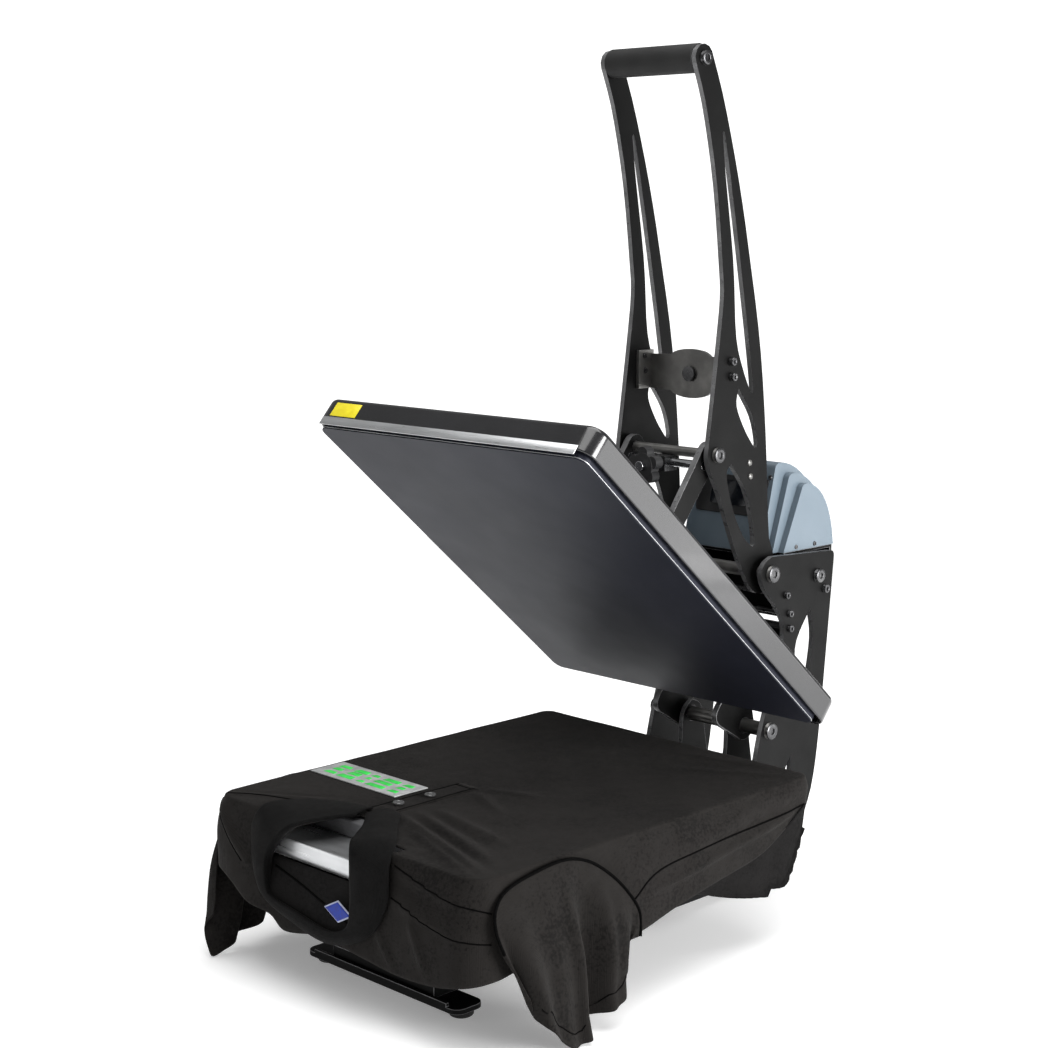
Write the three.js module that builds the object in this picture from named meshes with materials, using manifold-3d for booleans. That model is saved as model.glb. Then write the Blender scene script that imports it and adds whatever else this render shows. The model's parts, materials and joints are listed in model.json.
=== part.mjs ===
// Tabletop heat press for printing garments, standing open, with a shirt threaded over its lower platen.
// Millimetres, +Z up. X is the width, -Y is the front, z = 0 is the table.

import * as THREE from 'three';
import { mergeVertices } from 'three/addons/utils/BufferGeometryUtils.js';
import Module from 'manifold-3d';

const wasm = await Module();
wasm.setup();

// ---------- driving dimensions ----------

const GAP = 0.3;                  // play between faces that meet
const PLATEN_WIDTH = 400;         // both platens, side to side
const PLATEN_DEPTH = 500;         // both platens, front to back
const PLATEN_REAR = 157;          // y of the rear edge of the lower platen
const PLATEN_CORNER = 25;         // plan radius of the lower platen's corners
const HEATED = { half: 200, front: -340, rear: 161, corner: 12 };     // heated plate, closed
const COVER = { half: 206, front: -346, rear: 176, corner: 18, wall: 4 };  // its cover, closed
const GARMENT_TOP = 182;          // height of the cloth that is to be printed
const OPEN_ANGLE = 41.26;         // how far the heat platen stands open, degrees

const HINGE = { y: 236, z: 194 };           // heat platen's hinge
const HANDLE_PIVOT = { y: 235, z: 382 };    // press handle's pivot
const TOGGLE = { y: 152, z: 527 };          // where the links hang from the handle, open
const EAR_PIN = { y: -38, z: 250.5 };       // where the links push on the carrier, closed
const GRIP = { y: 121, z: 963 };            // centre of the hand grip, open

const SIDE_PLATE = { inner: 80, outer: 86 };     // half-spacings of the plates, from the centre plane
const ARM = { inner: 64, outer: 70 };
const LINK = { inner: 52, outer: 60 };
const CARRIER = { inner: 42, outer: 49.7 };
const INNER_PLATE = { inner: 32, outer: 38 };
const BEAM = { inner: 17.7, outer: 31.7 };

const FOOT_HEIGHT = 8;
const BAR_TOP = 14;
const BASE_TOP = 28;
const BASE_FRONT = -292;
const BASE_REAR = 296;
const BOX = { half: 76, front: 248, rear: 367, bottom: 401, top: 506 };

// ---------- materials ----------

function paint(color, roughness, metalness) {
  return new THREE.MeshStandardMaterial({ color, roughness, metalness });
}

const blackCoat = paint(0x17171a, 0.5, 0.3);
const blackGloss = paint(0x0c0c0f, 0.2, 0.2);
const chrome = paint(0xc8ccd2, 0.15, 1.0);
const steel = paint(0x8f9298, 0.35, 0.9);
const aluminium = paint(0xb9bcc0, 0.35, 0.9);
const grayHood = paint(0x91a3b2, 0.45, 0.0);
const blackPlastic = paint(0x121214, 0.45, 0.0);
const screenGlass = paint(0x050608, 0.1, 0.0);
const nonStick = paint(0x3a3a42, 0.6, 0.1);
const rubber = paint(0x101010, 0.85, 0.0);
const silicone = paint(0x2a2a2c, 0.8, 0.0);
const cloth = paint(0x26211f, 0.95, 0.0);

// ---------- helpers ----------

const root = new THREE.Group();

function addMesh(name, geometry, material, parent = root) {
  const mesh = new THREE.Mesh(geometry, material);
  mesh.name = name;
  parent.add(mesh);
  return mesh;
}

function toSolid(geometry) {
  const bare = geometry.clone();
  bare.deleteAttribute('normal');
  bare.deleteAttribute('uv');
  const merged = mergeVertices(bare, 1e-4);
  return new wasm.Manifold(new wasm.Mesh({
    numProp: 3,
    vertProperties: new Float32Array(merged.attributes.position.array),
    triVerts: new Uint32Array(merged.index.array),
  }));
}

function toGeometry(solid) {
  const mesh = solid.getMesh();
  const geometry = new THREE.BufferGeometry();
  geometry.setAttribute('position', new THREE.BufferAttribute(new Float32Array(mesh.vertProperties), 3));
  geometry.setIndex(new THREE.BufferAttribute(new Uint32Array(mesh.triVerts), 1));
  geometry.computeVertexNormals();
  return geometry;
}

function cut(body, tools) {
  return toGeometry(tools.reduce((solid, tool) => solid.subtract(toSolid(tool)), toSolid(body)));
}

function join(parts) {
  return toGeometry(parts.map(toSolid).reduce((a, b) => a.add(b)));
}

function box(x0, x1, y0, y1, z0, z1) {
  const geometry = new THREE.BoxGeometry(x1 - x0, y1 - y0, z1 - z0);
  return geometry.translate((x0 + x1) / 2, (y0 + y1) / 2, (z0 + z1) / 2);
}

// A round bar along X at (y, z), from x0 to x1.
function barX(radius, x0, x1, y, z, segments = 24) {
  const geometry = new THREE.CylinderGeometry(radius, radius, x1 - x0, segments);
  return geometry.rotateZ(Math.PI / 2).translate((x0 + x1) / 2, y, z);
}

function barY(radius, y0, y1, x, z, segments = 24) {
  const geometry = new THREE.CylinderGeometry(radius, radius, y1 - y0, segments);
  return geometry.translate(x, (y0 + y1) / 2, z);
}

function barZ(radius, z0, z1, x, y, segments = 24) {
  const geometry = new THREE.CylinderGeometry(radius, radius, z1 - z0, segments);
  return geometry.rotateX(Math.PI / 2).translate(x, y, (z0 + z1) / 2);
}

// A turned bar along X with a low round head outside each end: a bolt through two plates and its nut.
function boltX(radius, headRadius, headHeight, reach, y, z) {
  const tip = reach + headHeight;
  const profile = [
    [0, -tip], [headRadius * 0.8, -tip], [headRadius, -reach], [radius, -reach],
    [radius, reach], [headRadius, reach], [headRadius * 0.8, tip], [0, tip],
  ].map(([r, x]) => new THREE.Vector2(r, x));
  return new THREE.LatheGeometry(profile, 16).rotateZ(-Math.PI / 2).translate(0, y, z);
}

// A screw along X whose head stands outside the plane x = face; side is +1 or -1.
function screwX(radius, headRadius, headHeight, face, depth, side, y, z) {
  const profile = [
    [0, -depth], [radius, -depth], [radius, 0], [headRadius, 0],
    [headRadius * 0.75, headHeight], [0, headHeight],
  ].map(([r, x]) => new THREE.Vector2(r, x));
  const geometry = new THREE.LatheGeometry(profile, 12).rotateZ(-Math.PI / 2);
  if (side < 0) geometry.rotateZ(Math.PI);
  return geometry.translate(side * face, y, z);
}

function circlePath(y, z, radius, sides = 16) {
  const points = Array.from({ length: sides }, (_, index) => {
    const angle = -index * Math.PI * 2 / sides;
    return new THREE.Vector2(y + radius * Math.cos(angle), z + radius * Math.sin(angle));
  });
  return new THREE.Path(points);
}

function curveThrough(path, points) {
  path.splineThru(points.map(([y, z]) => new THREE.Vector2(y, z)));
}

// A closed lens-shaped slot: one curve down one side and another back up.
function slotPath(down, up) {
  const path = new THREE.Path();
  path.moveTo(...down[0]);
  curveThrough(path, down.slice(1));
  curveThrough(path, up);
  path.closePath();
  return path;
}

// Straight extrusion of an outline with holes, whichever way round they were drawn.
function extrudeFlat(shape, depth, curveSegments) {
  const drawn = shape.extractPoints(curveSegments);
  const wound = (points, clockwise) => (
    THREE.ShapeUtils.isClockWise(points) === clockwise ? points : points.reverse());
  const flat = new THREE.Shape(wound(drawn.shape, false));
  flat.holes = drawn.holes.map((hole) => new THREE.Path(wound(hole, true)));
  return new THREE.ExtrudeGeometry(flat, { depth, bevelEnabled: false });
}

// A flat plate drawn in the (y, z) plane, from x0 to x1.
function plateYZ(shape, x0, x1, curveSegments = 3) {
  const geometry = extrudeFlat(shape, x1 - x0, curveSegments);
  const turn = new THREE.Matrix4().makeBasis(
    new THREE.Vector3(0, 1, 0), new THREE.Vector3(0, 0, 1), new THREE.Vector3(1, 0, 0));
  return geometry.applyMatrix4(turn).translate(x0, 0, 0);
}

// A flat plate drawn in the (x, z) plane, from y0 to y1.
function plateXZ(shape, y0, y1, curveSegments = 6) {
  const geometry = extrudeFlat(shape, y1 - y0, curveSegments);
  return geometry.rotateX(Math.PI / 2).translate(0, y1, 0);
}

// Calls make(side, x0, x1) for the left and the right copy of a plate.
function bothSides(spacing, make) {
  make('left', -spacing.outer, -spacing.inner, -1);
  make('right', spacing.inner, spacing.outer, 1);
}

function roundedRectangle(x0, x1, y0, y1, radius) {
  const shape = new THREE.Shape();
  shape.moveTo(x0 + radius, y0);
  shape.absarc(x1 - radius, y0 + radius, radius, -Math.PI / 2, 0);
  shape.absarc(x1 - radius, y1 - radius, radius, 0, Math.PI / 2);
  shape.absarc(x0 + radius, y1 - radius, radius, Math.PI / 2, Math.PI);
  shape.absarc(x0 + radius, y0 + radius, radius, Math.PI, Math.PI * 1.5);
  return shape;
}

function slab(shape, z0, z1, curveSegments = 6) {
  return extrudeFlat(shape, z1 - z0, curveSegments).translate(0, 0, z0);
}

// ---------- base ----------

function makeBase() {
  const half = SIDE_PLATE.inner - GAP;
  addMesh('base_plate', box(-half, half, BASE_FRONT, BASE_REAR, BAR_TOP + GAP, BASE_TOP), blackCoat);
  addMesh('front_foot_bar', makeFrontBar(), blackCoat);
  const rearBar = slab(roundedRectangle(-84, 84, 244, 284, 12), FOOT_HEIGHT + GAP, BAR_TOP);
  addMesh('rear_foot_bar', rearBar, blackCoat);
  for (const [end, y, x] of [['front', -277, 104], ['rear', 264, 68]]) {
    for (const [name, side] of [['left', -1], ['right', 1]]) {
      addMesh(`foot_${end}_${name}`, makeFoot(side * x, y), rubber);
    }
  }
}

// A flat bar with round ends and a folded lip along its front edge.
function makeFrontBar() {
  const lip = box(-104, 104, -298, -294, FOOT_HEIGHT + GAP + 3, BAR_TOP + 4);
  return join([slab(roundedRectangle(-120, 120, -298, -258, 12), FOOT_HEIGHT + GAP, BAR_TOP), lip]);
}

function makeFoot(x, y) {
  const profile = [[0, 0], [10.5, 0], [13, 2], [13, FOOT_HEIGHT], [0, FOOT_HEIGHT]];
  const geometry = new THREE.LatheGeometry(profile.map(([r, z]) => new THREE.Vector2(r, z)), 20);
  return geometry.rotateX(Math.PI / 2).translate(x, y, 0);
}

// ---------- column ----------

const TIE_RODS = [
  { name: 'rear_tie_rod', y: 324, z: 369, radius: 6, head: 8.5 },
  { name: 'rear_spacer_rod', y: 339, z: 351, radius: 3.5, head: 5.5 },
  { name: 'upper_spacer_rod', y: 263, z: 353, radius: 3, head: 4.5 },
  { name: 'middle_spacer_rod', y: 270, z: 330, radius: 3, head: 4.5 },
  { name: 'lower_spacer_rod', y: 271, z: 312, radius: 3, head: 4.5 },
];

function sidePlateShape() {
  const shape = new THREE.Shape();
  shape.moveTo(186, BAR_TOP + GAP);
  curveThrough(shape, [[199, 90], [213, 160], [226, 207], [242, 245], [258, 284], [260, 318], [242, 345]]);
  curveThrough(shape, [[224, 364], [216, 382], [222, 395], [236, 402]]);
  shape.lineTo(350, 396);
  shape.quadraticCurveTo(357, 396, 356, 386);
  curveThrough(shape, [[346, 286], [334, 175], [322, 110], [300, 60], [290, BAR_TOP + GAP]]);
  shape.closePath();
  shape.holes.push(circlePath(HINGE.y, HINGE.z, 9.3));
  shape.holes.push(circlePath(HANDLE_PIVOT.y, HANDLE_PIVOT.z, 8.3));
  for (const rod of TIE_RODS) shape.holes.push(circlePath(rod.y, rod.z, rod.radius + GAP));
  shape.holes.push(slotPath([[311, 330], [284, 290], [288, 240]], [[302, 206], [311, 250], [318, 296], [311, 330]]));
  shape.holes.push(slotPath([[279, 156], [268, 138], [262, 112]], [[258, 92], [270, 108], [279, 134], [279, 156]]));
  return shape;
}

function innerPlateShape() {
  const shape = new THREE.Shape();
  shape.moveTo(196, BASE_TOP + GAP);
  curveThrough(shape, [[205, 100], [217, 160], [220, 196], [236, 212]]);
  curveThrough(shape, [[254, 200], [262, 160], [276, 90], [290, BASE_TOP + GAP]]);
  shape.closePath();
  shape.holes.push(circlePath(HINGE.y, HINGE.z, 9.3));
  return shape;
}

function makeColumn() {
  bothSides(SIDE_PLATE, (side, x0, x1) => {
    addMesh(`side_plate_${side}`, plateYZ(sidePlateShape(), x0, x1), blackCoat);
  });
  bothSides(INNER_PLATE, (side, x0, x1) => {
    addMesh(`inner_plate_${side}`, plateYZ(innerPlateShape(), x0, x1), blackCoat);
  });
  const reach = SIDE_PLATE.outer + GAP;
  addMesh('hinge_shaft', boltX(8.6, 10, 4, reach, HINGE.y, HINGE.z), steel);
  addMesh('handle_shaft', boltX(7.7, 10, 4, reach, HANDLE_PIVOT.y, HANDLE_PIVOT.z), steel);
  for (const rod of TIE_RODS) {
    addMesh(rod.name, boltX(rod.radius, rod.head, rod.radius > 4 ? 4 : 2.5, reach, rod.y, rod.z), steel);
  }
  const spreader = box(-SIDE_PLATE.inner + GAP, SIDE_PLATE.inner - GAP, 274, 279, 222, 316);
  addMesh('column_spreader', spreader, blackCoat);
}

// ---------- lower platen and its cantilever beams ----------

const PAD_SETBACK = 45;     // bare plate left in front of the pad

function makeLowerPlaten() {
  bothSides(BEAM, (side, x0, x1) => {
    addMesh(`platen_beam_${side}`, makeBeam(x0, x1), blackCoat);
  });
  const front = PLATEN_REAR - PLATEN_DEPTH - 5;
  const half = PLATEN_WIDTH / 2;
  addMesh('lower_platen', slab(roundedRectangle(-half, half, front, PLATEN_REAR, PLATEN_CORNER), 137, 158), aluminium);
  const pad = slab(roundedRectangle(-half + 2, half - 2, front + PAD_SETBACK, PLATEN_REAR - 2, 18), 158 + GAP, 177.5);
  addMesh('platen_pad', pad, silicone);
}

// A deep bar between the inner plates that carries the platen out over the base.
function makeBeam(x0, x1) {
  const shape = new THREE.Shape();
  shape.moveTo(-200, 122);
  shape.lineTo(120, 100);
  shape.lineTo(206, 84);
  shape.lineTo(262, 84);
  shape.lineTo(250, 137 - GAP);
  shape.lineTo(-200, 137 - GAP);
  shape.closePath();
  return plateYZ(shape, x0, x1);
}

// ---------- garment ----------

const SHIRT = { half: 207, front: -354, rear: 164, hem: 66, wall: 3, flare: 34, collar: -369.4 };

// A cap of cloth over the platen, with an open neck at the front, skirts all round and a sleeve at
// each front corner. It hangs clear of everything that it covers.
function makeGarment() {
  const { half, front, rear, hem, wall } = SHIRT;
  const top = GARMENT_TOP;
  const outer = join([
    box(-half, half, front, rear, hem, top),
    skirtFlare(-1),
    skirtFlare(1),
    plateYZ(sleeveShape(-262), half - 1, half + SHIRT.flare, 6),
    plateXZ(sleeveShape(-184), SHIRT.collar, front + 1, 6),
  ]);
  const hollow = box(-half + wall, half - wall, front + wall, rear - wall, hem - 60, top - wall);
  const neck = box(-118, 74, front - 60, front + 30, 92, 170);
  const behind = box(-150, 150, rear - 10, rear + 5, hem - 5, top - wall);
  addMesh('garment', toGeometry([hollow, neck, behind].map(toSolid)
    .reduce((body, tool) => body.subtract(tool), toSolid(outer))), cloth);
}

// The side of the shirt stands out from the platen towards its hem.
function skirtFlare(side) {
  const { half, front, rear, hem, flare } = SHIRT;
  const shape = new THREE.Shape();
  shape.moveTo(side * (half - 1), GARMENT_TOP - 30);
  shape.lineTo(side * (half + flare), hem + 30);
  shape.lineTo(side * (half + flare - 8), hem + 4);
  shape.lineTo(side * (half - 1), hem + 4);
  shape.closePath();
  return plateXZ(shape, front + 150, rear - 40);
}

// A sleeve hangs as a tapering fold almost down to the table; centre is its place along the edge.
function sleeveShape(centre) {
  const shape = new THREE.Shape();
  shape.moveTo(centre - 46, 168);
  shape.lineTo(centre - 30, 60);
  shape.quadraticCurveTo(centre - 18, 9, centre, 9);
  shape.quadraticCurveTo(centre + 20, 9, centre + 32, 60);
  shape.lineTo(centre + 48, 168);
  shape.closePath();
  return shape;
}

// ---------- control box ----------

// Side outline of the hood: a front that leans back, and a round back. Step draws the front and
// the top in; trim draws in the whole outline.
const HOOD_LEAN = 24;
const HOOD_STEP = 8;

function hoodShape(step, trim) {
  const front = BOX.front + step + trim;
  const rear = BOX.rear - trim;
  const crest = BOX.top - step * 1.2 - trim;
  const lean = HOOD_LEAN + step * 0.4;
  const shape = new THREE.Shape();
  shape.moveTo(front, BOX.bottom - (trim > 0 ? 1 : 0));
  shape.lineTo(front + lean, crest - 6);
  shape.quadraticCurveTo(front + lean + 2, crest, front + lean + 9, crest);
  shape.bezierCurveTo(front + lean + 38 - step * 0.5, crest, rear - 6, BOX.top - 30 - step * 0.6 - trim,
    rear, BOX.bottom - (trim > 0 ? 1 : 0));
  shape.closePath();
  return shape;
}

// The hood's front and top step in twice towards its sides, so each end shows two ridges.
function makeControlBox() {
  const { half, front, rear, bottom, top } = BOX;
  const core = plateYZ(hoodShape(0, 0), -half + 2 * HOOD_STEP, half - 2 * HOOD_STEP, 10);
  const shoulders = plateYZ(hoodShape(11, 0), -half + HOOD_STEP, half - HOOD_STEP, 10);
  const ends = plateYZ(hoodShape(22, 0), -half, half, 10);
  const inner = half - 2 * HOOD_STEP - 4;
  const hollow = plateYZ(hoodShape(0, 4), -inner, inner, 6);
  const lean = -Math.atan2(HOOD_LEAN, top - 6 - bottom);
  const window = displaySlab(GAP, -20, 30).rotateX(lean).translate(0, front, bottom);
  addMesh('control_hood', cut(join([core, shoulders, ends]), [hollow, window]), grayHood);

  const floor = box(-inner - 3, inner + 3, front + 1, rear - 1, bottom - 4, bottom - GAP);
  const wings = box(-half + 1, half - 1, front + 24, rear - 1, bottom - 4, bottom - GAP);
  const rearWall = box(-half + 1, half - 1, rear - 5, rear - 1, bottom - 42, bottom - 3);
  const sockets = [box(-52, -24, rear - 10, rear + 2, 368, 390), box(16, 44, rear - 10, rear + 2, 367, 391)];
  addMesh('electrics_tray', cut(join([floor, wings, rearWall]), sockets), blackCoat);

  addMesh('mains_inlet', cut(box(-51.7, -24.3, rear - 18, rear + 2, 368.3, 389.7), [
    box(-47, -29, rear - 12, rear + 3, 372, 386),
  ]), blackPlastic);
  addMesh('switch_frame', cut(box(16.3, 43.7, rear - 16, rear + 1, 367.3, 390.7), [
    box(20, 40, rear - 13, rear + 3, 371, 387),
  ]), blackPlastic);
  addMesh('power_switch', makeRocker(), blackPlastic);

  const display = new THREE.Group();
  display.position.set(0, front, bottom);
  display.rotation.x = lean;
  root.add(display);
  addMesh('display_panel', displaySlab(0, -1, 4), blackPlastic, display);
  const screen = slab(roundedRectangle(-28, 28, 52, 82, 4), 0, 1.2, 5).rotateX(Math.PI / 2);
  addMesh('display_screen', screen, screenGlass, display).position.set(0, -1 - GAP, 0);
}

// The display panel's slab: wider at its top, grown by the given margin, between two depths.
function displaySlab(grow, y0, y1) {
  const shape = new THREE.Shape();
  shape.moveTo(-46 - grow, 42 - grow);
  shape.lineTo(46 + grow, 42 - grow);
  shape.quadraticCurveTo(49 + grow, 42 - grow, 49.5 + grow, 46);
  shape.lineTo(54 + grow, 84);
  shape.quadraticCurveTo(54.5 + grow, 88 + grow, 50 + grow, 88 + grow);
  shape.lineTo(-50 - grow, 88 + grow);
  shape.quadraticCurveTo(-54.5 - grow, 88 + grow, -54 - grow, 84);
  shape.lineTo(-49.5 - grow, 46);
  shape.quadraticCurveTo(-49 - grow, 42 - grow, -46 - grow, 42 - grow);
  return plateXZ(shape, y0, y1, 4);
}

// The mains rocker, resting with its lower half pressed in.
const ROCKER = { y: 361, z: 379 };

function makeRocker() {
  const shape = new THREE.Shape();
  shape.moveTo(ROCKER.y - 4, ROCKER.z - 4.6);
  shape.lineTo(ROCKER.y + 5, ROCKER.z - 4.6);
  shape.lineTo(ROCKER.y + 5.6, ROCKER.z);
  shape.lineTo(ROCKER.y + 8.4, ROCKER.z + 4.4);
  shape.lineTo(ROCKER.y - 3, ROCKER.z + 4.4);
  shape.closePath();
  return plateYZ(shape, 20.4, 39.6);
}

// ---------- heat platen, on its carrier ----------

// Everything here is drawn closed, about the hinge, and the group is then turned open.
const platenGroup = new THREE.Group();
platenGroup.position.set(0, HINGE.y, HINGE.z);
platenGroup.rotation.x = -THREE.MathUtils.degToRad(OPEN_ANGLE);
root.add(platenGroup);

const FACE = GARMENT_TOP + 0.5;     // underside of the closed heat platen
const PLATE_TOP = FACE + 13;
const COVER_LIP = FACE + 6.8;       // the cover's walls overlap the sides of the plate
const COVER_TOP = FACE + 38;

function addToPlaten(name, geometry, material) {
  return addMesh(name, geometry.translate(0, -HINGE.y, -HINGE.z), material, platenGroup);
}

// Plan outline of a plate, drawn in from its size by the given inset.
function insetOutline(plate, inset) {
  return roundedRectangle(-plate.half + inset, plate.half - inset, plate.front + inset,
    plate.rear - inset, plate.corner - Math.min(inset, 4));
}

function makeHeatPlaten() {
  addToPlaten('non_stick_face', slab(insetOutline(HEATED, 0.5), FACE, FACE + 1, 5), nonStick);
  addToPlaten('heat_plate', slab(insetOutline(HEATED, 0), FACE + 1 + GAP, PLATE_TOP, 5), aluminium);
  addToPlaten('insulation_board', slab(insetOutline(HEATED, 9), PLATE_TOP + GAP, PLATE_TOP + 12, 5), silicone);

  const round = 6;
  const shell = new THREE.ExtrudeGeometry(insetOutline(COVER, 0), {
    depth: COVER_TOP - COVER_LIP, bevelEnabled: true, bevelThickness: round, bevelSize: round,
    bevelOffset: -round, bevelSegments: 3, curveSegments: 5,
  }).translate(0, 0, COVER_LIP - round);
  const reach = 10;
  const below = box(-COVER.half - reach, COVER.half + reach, COVER.front - reach, COVER.rear + reach,
    COVER_LIP - 2 * round, COVER_LIP);
  const hollow = slab(insetOutline(COVER, COVER.wall), COVER_LIP - reach, COVER_TOP - 8, 5);
  addToPlaten('heat_cover', cut(shell, [hollow, below]), blackGloss);

  bothSides(CARRIER, (side, x0, x1) => {
    addToPlaten(`carrier_plate_${side}`, plateYZ(carrierShape(), x0, x1, 5), blackCoat);
  });
  const cross = box(-CARRIER.inner + GAP, CARRIER.inner - GAP, 30, 70, COVER_TOP + GAP, COVER_TOP + 6);
  addToPlaten('carrier_cross_plate', cross, blackCoat);
}

// A bar on edge along the cover, a low ear with a slot for the link pin, and a boss on the hinge.
function carrierShape() {
  const foot = COVER_TOP + GAP;
  const shape = new THREE.Shape();
  shape.moveTo(-150, foot);
  shape.lineTo(168, foot);
  shape.quadraticCurveTo(179.5, foot, 179.5, 206);
  shape.lineTo(180, 184);
  shape.quadraticCurveTo(181, 169, 194, 169);
  shape.lineTo(HINGE.y, HINGE.z - 18);
  shape.absarc(HINGE.y, HINGE.z, 18, -Math.PI / 2, Math.PI / 3);
  shape.lineTo(200, foot + 20);
  shape.lineTo(20, foot + 20);
  shape.quadraticCurveTo(0, foot + 22, -14, 256);
  shape.quadraticCurveTo(-20, 268, -34, 269);
  shape.lineTo(-58, 264);
  shape.quadraticCurveTo(-78, 260, -86, 244);
  shape.quadraticCurveTo(-94, foot + 14, -150, foot + 12);
  shape.closePath();
  shape.holes.push(circlePath(HINGE.y, HINGE.z, 9.3));
  shape.holes.push(linkSlot());
  return shape;
}

// The slot lets the link pin run forward of its seat while the press is half closed.
const LINK_PIN_RADIUS = 5;
const SLOT = { play: 1.4, run: 21.6, drop: 5.2 };

function linkSlot() {
  const radius = LINK_PIN_RADIUS + SLOT.play;
  const lean = Math.atan2(SLOT.drop, SLOT.run);
  const path = new THREE.Path();
  path.absarc(EAR_PIN.y, EAR_PIN.z, radius, lean + Math.PI / 2 - Math.PI, lean + Math.PI / 2, false);
  path.absarc(EAR_PIN.y - SLOT.run, EAR_PIN.z - SLOT.drop, radius,
    lean + Math.PI / 2, lean + Math.PI * 1.5, false);
  path.closePath();
  return path;
}

// ---------- handle ----------

const REACH = ARM.outer + GAP;
const STRIKE = { y: 186, z: 613 };
const STRIKE_BOLTS = [[174, 631.5], [175.5, 614]];

function armShape() {
  const shape = new THREE.Shape();
  shape.moveTo(GRIP.y + 13, GRIP.z + 7);
  curveThrough(shape, [[156, 918], [183, 834], [205, 748], [227, 646], [240, 543], [246, 460], [250, 420]]);
  curveThrough(shape, [[259, 396], [256, 370], [240, 357], [222, 361], [209, 376]]);
  curveThrough(shape, [[188, 413], [158, 479], [141, 509]]);
  shape.quadraticCurveTo(134, 522, 137, 534);
  curveThrough(shape, [[144, 581], [155, 659], [160, 705], [157, 742], [145, 829], [126, 909], [108, 956]]);
  shape.absarc(GRIP.y, GRIP.z, 15, Math.PI + 0.45, 0.5, true);
  shape.closePath();
  shape.holes.push(circlePath(GRIP.y, GRIP.z, 4.3));
  shape.holes.push(circlePath(HANDLE_PIVOT.y, HANDLE_PIVOT.z, 8.3));
  shape.holes.push(circlePath(TOGGLE.y, TOGGLE.z, 6.3));
  for (const [y, z] of STRIKE_BOLTS) shape.holes.push(circlePath(y, z, 3.3));
  shape.holes.push(slotPath(
    [[154, 884], [160, 839], [176, 742], [183, 660], [197, 620], [211, 594]],
    [[215, 598], [207, 647], [190, 735], [168, 839], [158, 882], [154, 884]]));
  shape.holes.push(slotPath([[189, 600], [186, 580], [201, 552], [219, 530]], [[225, 534], [215, 566], [189, 600]]));
  shape.holes.push(slotPath([[178, 514], [170, 502], [182, 462], [202, 428], [219, 414]],
    [[222, 421], [215, 455], [202, 485], [178, 514]]));
  return shape;
}

function makeHandle() {
  bothSides(ARM, (side, x0, x1, sign) => {
    addMesh(`handle_arm_${side}`, plateYZ(armShape(), x0, x1), blackCoat);
    STRIKE_BOLTS.forEach(([y, z], index) => {
      addMesh(`bracket_bolt_${side}_${index + 1}`, screwX(3, 5, 4, REACH, 12, sign, y, z), steel);
    });
  });
  addMesh('grip_rod', boltX(4, 8, 3.5, REACH, GRIP.y, GRIP.z), steel);
  const sleeve = ARM.inner - GAP;
  addMesh('hand_grip', cut(barX(16, -sleeve, sleeve, GRIP.y, GRIP.z, 32), [
    barX(4.3, -sleeve - 1, sleeve + 1, GRIP.y, GRIP.z, 16),
  ]), rubber);
  addMesh('toggle_shaft', boltX(5.8, 9, 4, REACH, TOGGLE.y, TOGGLE.z), chrome);
  addMesh('strike_bracket', makeStrikeBracket(), steel);
  const bolt = join([barY(5, STRIKE.y - 3, STRIKE.y + 24, 0, STRIKE.z, 16),
    barY(9, STRIKE.y - 4, STRIKE.y - GAP, 0, STRIKE.z, 20)]);
  addMesh('strike_bolt', bolt, blackCoat);
  const disc = cut(barY(26, STRIKE.y + 4 + GAP, STRIKE.y + 20, 0, STRIKE.z, 32), [
    barY(5.3, STRIKE.y, STRIKE.y + 30, 0, STRIKE.z, 16),
  ]);
  addMesh('strike_disc', disc, chrome);
}

// A folded strap between the arms with a round bulge in the middle and a flange bolted to each arm.
function makeStrikeBracket() {
  const end = ARM.inner - GAP;
  const face = new THREE.Shape();
  face.moveTo(-end, STRIKE.z - 20);
  face.lineTo(-30, STRIKE.z - 21);
  face.bezierCurveTo(-20, STRIKE.z - 31, 20, STRIKE.z - 31, 30, STRIKE.z - 21);
  face.lineTo(end, STRIKE.z - 20);
  face.lineTo(end, STRIKE.z + 20);
  face.lineTo(30, STRIKE.z + 21);
  face.bezierCurveTo(20, STRIKE.z + 31, -20, STRIKE.z + 31, -30, STRIKE.z + 21);
  face.lineTo(-end, STRIKE.z + 20);
  face.closePath();
  face.holes.push(circlePath(0, STRIKE.z, 5.3));
  const flanges = [-1, 1].map((side) => box(
    Math.min(side * end, side * (end - 4)), Math.max(side * end, side * (end - 4)),
    STRIKE.y - 22, STRIKE.y + 4, STRIKE.z - 20, STRIKE.z + 25));
  const strap = join([plateXZ(face, STRIKE.y, STRIKE.y + 4, 8), ...flanges]);
  return cut(strap, STRIKE_BOLTS.map(([y, z]) => barX(3.3, -end - 1, end + 1, y, z, 16)));
}

// ---------- link between handle and carrier ----------

const EAR_PIN_OPEN = turnedOpen(EAR_PIN);
const LINK_LENGTH = Math.hypot(TOGGLE.y - EAR_PIN_OPEN.y, TOGGLE.z - EAR_PIN_OPEN.z);
const LINK_DOWN = {
  y: (EAR_PIN_OPEN.y - TOGGLE.y) / LINK_LENGTH,
  z: (EAR_PIN_OPEN.z - TOGGLE.z) / LINK_LENGTH,
};

const ADJUST_ROD = { y: TOGGLE.y + 15.5 * LINK_DOWN.y, z: TOGGLE.z + 15.5 * LINK_DOWN.z };

// Where a point of the closed heat platen stands when the press is open.
function turnedOpen(point) {
  const angle = -THREE.MathUtils.degToRad(OPEN_ANGLE);
  const y = point.y - HINGE.y;
  const z = point.z - HINGE.z;
  return {
    y: HINGE.y + y * Math.cos(angle) - z * Math.sin(angle),
    z: HINGE.z + y * Math.sin(angle) + z * Math.cos(angle),
  };
}

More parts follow.
